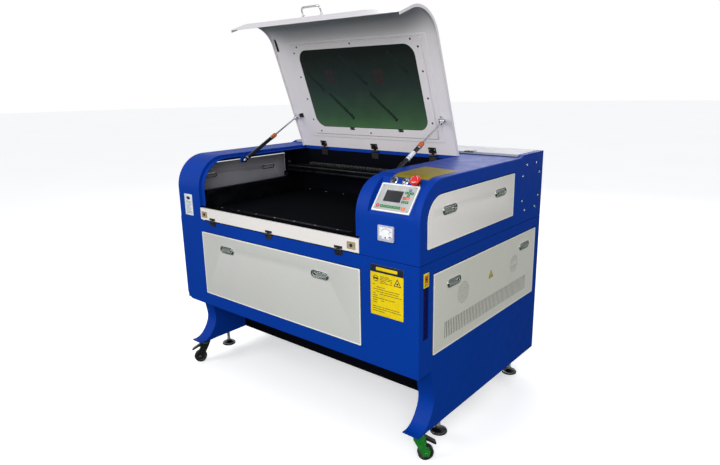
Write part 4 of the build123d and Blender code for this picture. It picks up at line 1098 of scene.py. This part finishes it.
p = Piece("key_and_barrel", "key_switch", "chrome")
mk = facet(1280.0, 142.0, 0.0)
p.add(lathe([(0, 1.2), (8.4, 1.2), (8.4, 8.2), (7.6, 9.6), (6.4, 10.0), (5.4, 9.9), (5.2, 8.6), (0, 8.6)], 36), m_chrome, mk)
p.add(lathe([(0, 8.5), (5.1, 8.5), (5.1, 9.3), (0, 9.3)], 28), m_knob, mk)
bow = [rrect(-6.4, 12.5, 6.4, 26.0, 3.0), ring(0, 21.0, 2.2, 16)]
p.add(plate(bow, -0.9, 0.9, 0.35, 2), m_knob, mk @ Matrix.Rotation(math.radians(90), 4, "X"))
p.add(plate([rrect(-2.4, 8.4, 2.4, 13.2, 0.3)], -0.7, 0.7, 0.2, 1), m_steel, mk @ Matrix.Rotation(math.radians(90), 4, "X"))
p.done("key_switch")

# ------------------------------------------------------------------ panel meter
p = Piece("panel_meter", "cabinet", "meter_plastic")
m = front(1261.5, 884.5, 0.0)
p.add(plate([rrect(-34.5, -28.5, 34.5, 28.5, 3.5), rrect(-29.5, -9.0, 29.5, 24.0, 2.5)], 0.0, 7.8, 1.4, 3), m_meter, m)
p.add(plate([rrect(-30, -9.5, 30, 24.5, 2.5)], 0.0, 3.6), m_dial, m)
for k in range(21):
    a = math.radians(140 - 5.0 * k)
    r0, r1 = (27.0, 31.5) if k % 5 == 0 else (28.6, 31.5)
    c = Vector((0, -11.5))
    d = Vector((math.cos(a), math.sin(a)))
    t = Vector((-d.y, d.x)) * (0.32 if k % 5 == 0 else 0.18)
    pts = [c + d * r0 - t, c + d * r1 - t, c + d * r1 + t, c + d * r0 + t]
    p.add(plate([[(q.x, q.y) for q in pts]], 3.5, 3.75), m_ink, m)
arcpts = arc(0, -11.5, 27.0, 40, 140, 24) + arc(0, -11.5, 26.4, 140, 40, 24)
p.add(plate([arcpts], 3.5, 3.75), m_ink, m)
a = math.radians(47)
d = Vector((math.cos(a), math.sin(a)))
t = Vector((-d.y, d.x)) * 0.35
c = Vector((0, -11.5))
p.add(plate([[tuple(q) for q in ((c + d * 2 - t * 2), (c + d * 29 - t * 0.6), (c + d * 29 + t * 0.6), (c + d * 2 + t * 2))]], 4.4, 4.8), m_ink, m)
# lower cover: a pale crowned half disc with its zero screw
half = arc(0, -9.4, 17.0, 0, 180, 24)
p.add(plate([[(x, y) for x, y in half] + [(-17, -19.0), (17, -19.0)]], 7.0, 8.0, 0.45, 2), m_dial, m)
p.add(lathe([(0, 7.6), (3.2, 7.6), (3.2, 8.0), (2.6, 8.0), (0, 8.0)], 20), m_knob, m @ T(0, -14.0, 0))
p.add(plate([rrect(8.0, -17.0, 20.0, -15.0, 0.4)], 7.7, 8.0), m_ink, m @ T(0, 0, 0, 18))
for dx in (-29, 29):
    screw(p, m @ T(dx, -23.5, 6.6), 2.2, 1.2, m_steel, 35)
p.done("ammeter")

# ------------------------------------------------------------------ lid: liner, screws, gasket, clips
p = Piece("lid_liner", "lid", "lid_paint")
m = lid(0, 0, 0)
p.add(plate([rrect(262, 64, 1074, 552, 8), rrect(284, 80, 1052, 545.5, 6)], -6.0, -3.2, 0.8, 3), m_lid, m)
p.add(plate([rrect(279, 77, 1057, 548.5, 7), rrect(283.4, 80.6, 1052.6, 545, 6)], -5.6, -4.6), m_gasket, m)
p.done()
p = Piece("window_gasket", "lid", "acrylic")
p.add(plate([rrect(322, 118, 1014, 526, 57), rrect(327.5, 123.5, 1008.5, 520.5, 53)], -5.4, -0.6, 0.8, 2), m_gasket, m)
p.done()
p = Piece("lid_frame_screws", "lid", "chrome")
for x, a in ((304, 160), (303, 270), (302, 385), (303, 505), (1033, 160), (1034, 275), (1034, 395), (1032, 500),
             (330, 533.5), (668, 533.5), (1000, 533.5), (340, 98), (668, 98), (1000, 98)):
    screw(p, lid(x, a, 1.5), 3.2, 1.5, m_black, (x * 3 + a) % 90)
p.done()
p = Piece("window_clips", "lid", "black_hinge")
for x in (556, 852):
    mm = lid(x, 118.0, 1.5)
    p.add(plate([rrect(-14, -7, 14, 7, 2.0)], 0.0, 1.4, 0.4, 2), m_hinge, mm)
    screw(p, mm @ T(-7, 0, 1.3), 1.8, 0.8, m_steel, 10)
    screw(p, mm @ T(7, 0, 1.3), 1.8, 0.8, m_steel, 50)
mm = lid(190, 552, -5.2)
p.add(plate([rrect(-6, -34, 6, 34, 2.0)], 0.0, 4.0, 0.8, 2), m_hinge, mm)
p.add(plate([rrect(-3, -24, 3, 24, 1.5)], 3.6, 5.0, 0.4, 2), m_black, mm)
p.done()

# Faint marks of the film on the window: plain slanted smears, no letters.
p = Piece("window_film_marks", "lid", "acrylic")
m_smear = plastic("film_smear", srgb(24, 36, 30), rough=0.35, grain=0.05, dust=0.25, dust_col=srgb(40, 60, 44), wear_and_edge_highlight=0.0)
m_smear_red = plastic("film_smear_red", srgb(56, 38, 38), rough=0.35, grain=0.05, dust=0.6, dust_col=srgb(36, 44, 38), wear_and_edge_highlight=0.0)
for cx, ca, L in ((388, 366, 120), (640, 415, 180), (905, 440, 130), (520, 235, 170), (780, 232, 180)):
    rnd = random.Random(int(cx))
    x = -L / 2
    while x < L / 2:
        w = rnd.uniform(8, 15)
        mm = lid(cx, ca, -2.45) @ T(rot=-46 + rnd.uniform(-1, 1))
        p.add(plate([rrect(x, -9 + rnd.uniform(-2, 2), x + w, 9 + rnd.uniform(-2, 2), 4.0)], 0.0, 0.15), m_smear, mm)
        x += w + 2.5
for cx, ca in ((494, 385), (790, 375)):
    for k in range(4):
        mm = lid(cx + (k % 2) * 26 - 13, ca + (k // 2) * 34 - 17, -2.45)
        p.add(plate([rrect(-10, -14, 10, 14, 6)], 0.0, 0.14), m_smear_red, mm)
p.done()

# lid handle feet
p = Piece("handle_ferrules", "lid", "chrome")
b = N["lid_handle"]
for dx in (-55, 55):
    base = L_ORIGIN + L_D * 692.6 + (-L_N) * (-112) + Vector((601 + dx, 0, 0))
    mm = at(base, (1, 0, 0), (L_D.cross(Vector((1, 0, 0)))))
    p.add(lathe([(4.7, 1.6), (8.6, 1.6), (8.6, 3.0), (7.0, 4.6), (4.7, 5.0), (4.7, 1.6)], 28), m_chrome, mm)
p.done()

# ------------------------------------------------------------------ gas struts
S_ANG = math.radians(27.418)
S_DIR = Vector((0, math.cos(S_ANG), math.sin(S_ANG)))
for side, x in (("left", 201.0), ("right", 1099.0)):
    m = at((x, 252.0, 1040.0), (1, 0, 0), (0, S_DIR.z, -S_DIR.y))
    p = Piece(side + "_strut_sleeve", side + "_strut_tube", "black_tube")
    p.add(lathe([(9.15, 208), (10.4, 208.6), (10.6, 210), (10.6, 230), (10.2, 233), (9.0, 234), (4.6, 234), (4.6, 208), (9.15, 208)], 32), m_collar, m)
    p.add(lathe([(9.05, 198), (9.7, 198.4), (9.7, 203.6), (9.05, 204), (9.05, 198)], 32), m_chrome, m)
    p.add(lathe([(9.05, 16), (9.9, 16.5), (9.9, 24), (9.05, 24.6), (9.05, 16)], 32), m_steel, m)
    if side == "right":
        p.add(lathe([(9.03, 112), (9.35, 112.2), (9.35, 166), (9.03, 166.2), (9.03, 112)], 32), m_label, m)
        p.add(lathe([(9.3, 122), (9.48, 122), (9.48, 125), (9.3, 125), (9.3, 122)], 32), m_inkgrey, m)
    p.done()
    p = Piece(side + "_strut_ball", side + "_strut_tube", "chrome")
    p.add(dome(9.4, 6.0, 4.0, 2.0, 28, 6), m_chrome, at((x, 252.0, 1040.0), (0, 1, 0), (0, 0, 1)) if side == "left" else at((x, 252.0, 1040.0), (0, -1, 0), (0, 0, 1)))
    p.done()
    p = Piece(side + "_strut_end", side + "_strut_rod", "chrome")
    p.add(lathe([(4.3, 391), (7.0, 391.4), (7.2, 392.4), (7.2, 401), (6.6, 402.6), (4.3, 403), (4.3, 391)], 28), m_chrome, m)
    p.done()


# ------------------------------------------------------------------ casters and levelling feet
for name, cx, cy, ang in (("front_left", 35, 50, 225), ("front_right", 1365, 50, 45), ("rear_left", 160, 940, 120), ("rear_right", 1240, 940, 75)):
    A = math.radians(ang)
    trail = Vector((math.cos(A), math.sin(A), 0))
    axle = Vector((-math.sin(A), math.cos(A), 0))
    centre = Vector((cx, cy, 31.0)) + trail * 30.0
    m = at(centre, trail, (0, 0, 1))
    p = Piece(name + "_wheel_detail", name + "_wheel", "tread")
    prof = [(5.3, -11.8), (9.0, -11.8), (9.6, -9.0), (19.0, -9.0), (21.0, -11.6), (28.0, -11.9), (30.2, -10.8), (31.0, -8.6),
            (31.0, -3.2), (30.3, -2.6), (30.3, 2.6), (31.0, 3.2), (31.0, 8.6), (30.2, 10.8), (28.0, 11.9), (21.0, 11.6), (19.0, 9.0), (9.6, 9.0), (9.0, 11.8), (5.3, 11.8), (5.3, -11.8)]
    p.add(lathe(prof, 56), m_tread, m)
    for side in (-1, 1):
        for k in range(6):
            a = math.radians(60 * k + 12)
            mm = m @ Matrix.Rotation(a, 4, "Z")
            p.add(block(10.0, -1.5, 8.6 * side - 0.7, 19.6, 1.5, 8.6 * side + 2.0, 0.5), m_tread, mm)
    p.done(name + "_wheel")
    p = Piece(name + "_axle_nuts", name + "_swivel", "chrome")
    for side in (-1, 1):
        mm = m @ T(0, 0, 17.4 * side)
        nut = hexnut(6.6, 3.4, 0.0)
        p.add(nut, m_steel, mm @ T(0, 0, 0 if side > 0 else -3.4))
        p.add(lathe([(0, -0.6), (8.2, -0.6), (8.2, 0.2), (0, 0.2)] if side > 0 else [(0, -0.2), (8.2, -0.2), (8.2, 0.6), (0, 0.6)], 24), m_steel, mm)
    p.add(lathe([(24.2, 106.5), (25.2, 107.5), (25.2, 112.0), (24.2, 113.0), (24.2, 106.5)], 40), m_steel, at((cx, cy, 0), (1, 0, 0), (0, 1, 0)))
    p.done()

p = Piece("levelling_feet_detail", "levelling_feet", "foot_rubber")
for x, y in ((35, 197), (1365, 197), (35, 819), (1365, 819)):
    m = at((x, y, 20), (1, 0, 0), (0, 1, 0))
    p.add(lathe([(0, 25.2), (30, 25.0), (33.4, 25.6), (34, 27.0), (34, 31.0), (33.2, 32.6), (31.0, 33.4), (0, 33.4)], 56), m_pad, m)
    p.add(lathe([(31.4, 33.0), (32.4, 33.2), (32.2, 34.6), (30.0, 35.4), (28.0, 35.4), (28.0, 33.0), (31.4, 33.0)], 56), m_steel, m)
    p.add(lathe([(29.0, 34.6), (26.0, 36.6), (18.0, 40.0), (12.0, 43.4), (10.6, 45.0), (0, 45.0), (0, 34.6), (29.0, 34.6)], 48), m_tube, m)
    p.add(hexnut(11.0, 6.0, 6.6), m_steel, m @ T(0, 0, 45.2, 15))
    stem = [(0, 44.0)]
    z = 44.0
    while z < 176:
        stem += [(6.1, z), (7.0, z + 0.9), (7.0, z + 1.2), (6.1, z + 2.1)]
        z += 2.4
    stem += [(6.1, 179.0), (0, 180.0)]
    p.add(lathe(stem, 18), m_steel, m)
p.done("levelling_feet")

# ------------------------------------------------------------------ tube lid hinges on the rear deck edge
p = Piece("tube_lid_hinges", "tube_lid", "black_hinge")
q = Piece("tube_lid_hinge_bases", "cabinet", "black_hinge")
for x in (262, 700, 1138):
    m = top(x, 0, 1086.0)
    p.add(plate([rrect(-24, 784, 24, 812, 2.5)], 0.0, 1.8, 0.5, 2), m_hinge, m)
    for dx in (-15, 15):
        screw(p, m @ T(dx, 800, 1.7), 2.3, 0.9, m_black, dx)
    for k in range(3):
        bm = sweep([(x - 22 + 16 * k, 779.6, 1085.2), (x - 22 + 16 * k + 11.6, 779.6, 1085.2)], 3.4, 16)
        p.add(bm, m_hinge)
p.done()
if q.mats or len(q.bm.verts):
    q.done()

# ------------------------------------------------------------------ inside: bed, rails, gantry, head
p = Piece("bed_frame_strips", "work_bed", "bed_metal")
m = top(0, 0, 845.0)
for strip in (rrect(250, 46, 1050, 64, 3), rrect(250, 626, 1050, 644, 3), rrect(216, 80, 234, 610, 3), rrect(1066, 80, 1084, 610, 3)):
    p.add(plate([strip], -0.4, 0.9, 0.35, 2), m_beam, m)
for x in range(260, 1060, 120):
    for y in (55.5, 634.5):
        screw(p, m @ T(x, y, 0.8), 3.0, 1.2, m_steel, x % 90)
p.done()

p = Piece("rail_carriage_details", "gantry", "rail_metal")
for x, s in ((160, 1), (1103, -1)):
    for y in (567, 633):
        p.add(block(x - 13, y - 9, 921.6, x + 13, y + 9, 938.0, 1.0), m_rail)
    if s > 0:
        p.add(lathe([(0, -5.0), (12.0, -5.0), (12.0, -3.8), (9.4, -3.4), (9.4, 3.4), (12.0, 3.8), (12.0, 5.0), (0, 5.0)], 30), m_steel, at((x, 600, 995), (0, 1, 0), (0, 0, 1)))
p.add(block(152, 583.2, 948.5, 1100, 585.0, 956.5, 0.5), m_rail)
p.add(block(152, 583.4, 972.0, 1100, 585.0, 978.0, 0.5), m_belt)
for x in range(190, 1080, 60):
    screw(p, at((x, 583.2, 952.5), (1, 0, 0), (0, 0, 1)), 2.0, 0.8, m_black, x % 80)
p.done()

p = Piece("drag_chain", "gantry", "black_hinge")
path = []
for i in range(34):
    path.append((300 + i * 20.0, 606.0, 993.0))
for i, (x, y, z) in enumerate(path):
    p.add(block(x, y - 8.5, z - 6.5, x + 17.6, y - 5.4, z + 6.5, 1.6), m_hinge)
    p.add(block(x, y + 5.4, z - 6.5, x + 17.6, y + 8.5, z + 6.5, 1.6), m_hinge)
    p.add(block(x + 5, y - 6.0, z + 4.0, x + 13, y + 6.0, z + 6.0, 0.6), m_hinge)
p.done()

p = Piece("laser_head_details", "laser_head", "chrome")
m = at((1030, 564, 0), (1, 0, 0), (0, 1, 0))
p.add(lathe([(13.05, 918), (15.0, 918.4), (15.4, 919.4), (15.4, 926), (14.8, 927), (13.05, 927.4), (13.05, 918)], 32), m_steel, m)
p.add(lathe([(13.05, 896), (14.2, 896.5), (14.2, 900), (13.05, 900.5), (13.05, 896)], 32), m_brass, m)
p.add(sweep([(1044, 560, 905), (1050, 558, 915), (1053, 558, 935), (1050, 560, 960), (1040, 562, 985), (1032, 566, 1000)], 2.6, 12), m_knob)
for dx in (-22, 22):
    screw(p, at((1030 + dx, 545.0, 995), (1, 0, 0), (0, 0, 1)), 2.6, 1.1, m_steel, dx)
    screw(p, at((1030 + dx, 545.0, 942), (1, 0, 0), (0, 0, 1)), 2.6, 1.1, m_steel, dx * 2)
p.done()

p = Piece("rail_belts", "cabinet", "rail_metal")
for x in (160, 1103):
    p.add(block(x - 9, 42, 909.0, x - 3, 688, 912.0, 0.4) if x < 500 else block(x + 3, 42, 909.0, x + 9, 688, 912.0, 0.4), m_belt)
    for y in (48, 682):
        p.add(lathe([(0, 900.5), (9.5, 900.5), (9.5, 902), (7.5, 902.6), (7.5, 916), (9.5, 916.6), (9.5, 918.5), (0, 918.5)], 28), m_steel, at((x + (-6 if x < 500 else 6), y, 0.8), (1, 0, 0), (0, 1, 0)))
p.done()

# A black motor block and a dark belt at the rear of the left console: partly a motor, partly a dark block put there as
# painted shade for the console's inside.
p = Piece("rail_motor_shade_block", "cabinet", "rail_metal")
p.add(block(96, 636, 880, 146, 686, 930, 3.0), m_black)
p.add(block(98, 638, 930, 144, 684, 937, 1.5), m_rail)
for sx in (-1, 1):
    for sy in (-1, 1):
        screw(p, top(121 + sx * 18, 661 + sy * 18, 936.8), 2.6, 1.2, m_steel, 20)
p.add(lathe([(0, 937), (11, 937), (11, 939), (5, 939.4), (5, 946), (0, 946)], 28), m_steel, top(121, 661, 0))
p.add(sweep([(110, 640, 884), (100, 600, 868), (92, 540, 858), (88, 460, 852), (86, 380, 846), (84, 300, 842)], 5.0, 12), m_belt)
p.done()

# laser tube: an inner bore, a glass coil and rubber rings at its ends
p = Piece("laser_tube_fittings", "cabinet", "tube_glass")
m = at((0, 880, 960), (0, 1, 0), (0, 0, 1))
p.add(lathe([(30.1, 150), (32.4, 150.6), (32.4, 176), (30.1, 176.6), (30.1, 150)], 40), m_gasket, m)
p.add(lathe([(30.1, 1224), (32.4, 1224.6), (32.4, 1250), (30.1, 1250.6), (30.1, 1224)], 40), m_gasket, m)
p.add(sweep([(200, 880, 960), (1200, 880, 960)], 9.0, 20), m_glass)
p.add(sweep([(300 + 6 * i, 880 + 14 * math.cos(i * 0.9), 960 + 14 * math.sin(i * 0.9)) for i in range(130)], 2.0, 8), m_glass)
p.done()

# ------------------------------------------------------------------ back: louvres, clamp, inlet
p = Piece("back_louvres", "cabinet", "blue_paint")
for cx in (330, 1070):
    for k in range(9):
        z = 655 + 17 * k
        mm = back(cx, z)
        prof = [(-70, 0.0), (-70, 0.1)]
        bm = block(-70, -4.5, -0.5, 70, 4.5, 4.2, 1.6, 3)
        for v in bm.verts:
            if v.co.y < 0 and v.co.z > 1:
                v.co.z = 0.6
        p.add(bm, m_blue, mm)
        p.add(plate([rrect(-66, -6.2, 66, -4.9, 0.6, 2)], 0.02, 0.25), m_void, mm)
p.done()

p = Piece("exhaust_clamp", "cabinet", "chrome")
m = at((700, 0, 600), (-1, 0, 0), (0, 0, 1))
p.add(lathe([(75.1, 993), (79.0, 993.4), (79.6, 995), (75.1, 995.6), (75.1, 993)], 72), m_blue, m)
p.add(lathe([(75.1, 1014), (76.2, 1014.3), (76.2, 1025.7), (75.1, 1026), (75.1, 1014)], 72), m_steel, m)
p.add(block(-7, 75.5, 1013, 9, 84.0, 1027, 1.2), m_steel, m)
for k in range(8):
    a = math.radians(45 * k + 22.5)
    screw(p, back(700 + 84 * math.cos(a), 600 + 84 * math.sin(a)), 2.8, 1.2, m_steel, 45 * k)
p.done()

p = Piece("inlet_details", "cabinet", "inlet_plastic")
m = back(1210, 480, 998.0)
p.add(plate([rrect(-24, -32, 24, 4, (3, 3, 9, 9)), rrect(-17, -26, 17, -4, (2, 2, 7, 7))], 0.0, 1.6, 0.4, 2), m_inlet, m)
p.add(plate([rrect(-17.2, -26.2, 17.2, -3.8, (2, 2, 7, 7))], -0.2, 0.15), m_void, m)
for dx, dz in ((-8, -19), (8, -19), (0, -10)):
    p.add(block(dx - 1.2, dz - 3.4, 0, dx + 1.2, dz + 3.4, 1.4, 0.3), m_brass, m)
p.add(plate([rrect(-16, 10, 16, 32, 2.0)], 0.0, 1.6, 0.5, 2), m_inlet, m)
p.add(plate([rrect(-12, 13, 12, 29, 1.4)], 1.2, 3.2, 0.6, 2), m_red, m)
for dx in (-26, 26):
    screw(p, m @ T(dx * 1.0, -14, 0), 2.2, 0.9, m_steel, 20)
p.done()

# ------------------------------------------------------------------ lid and base hinge screws
p = Piece("lid_hinge_screws", "lid", "black_hinge")
q = Piece("lid_hinge_base_screws", "cabinet", "black_hinge")
for x in (321, 661, 1000):
    for dx in (-14, 0, 14):
        q_m = at((x + dx, 697.0, 1044.0), (1, 0, 0), (0, 0, 1))
        screw(q, q_m, 2.4, 0.9, m_black, dx * 3)
q.done()
lo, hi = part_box("lid_hinge_leaves")
for x in (321, 661, 1000):
    for dx in (-14, 14):
        screw(p, lid(x + dx, 27.0, -3.5), 2.4, 0.9, m_steel, dx * 3)
p.done()


# ------------------------------------------------------------------ final view layer update
bpy.context.view_layer.update()
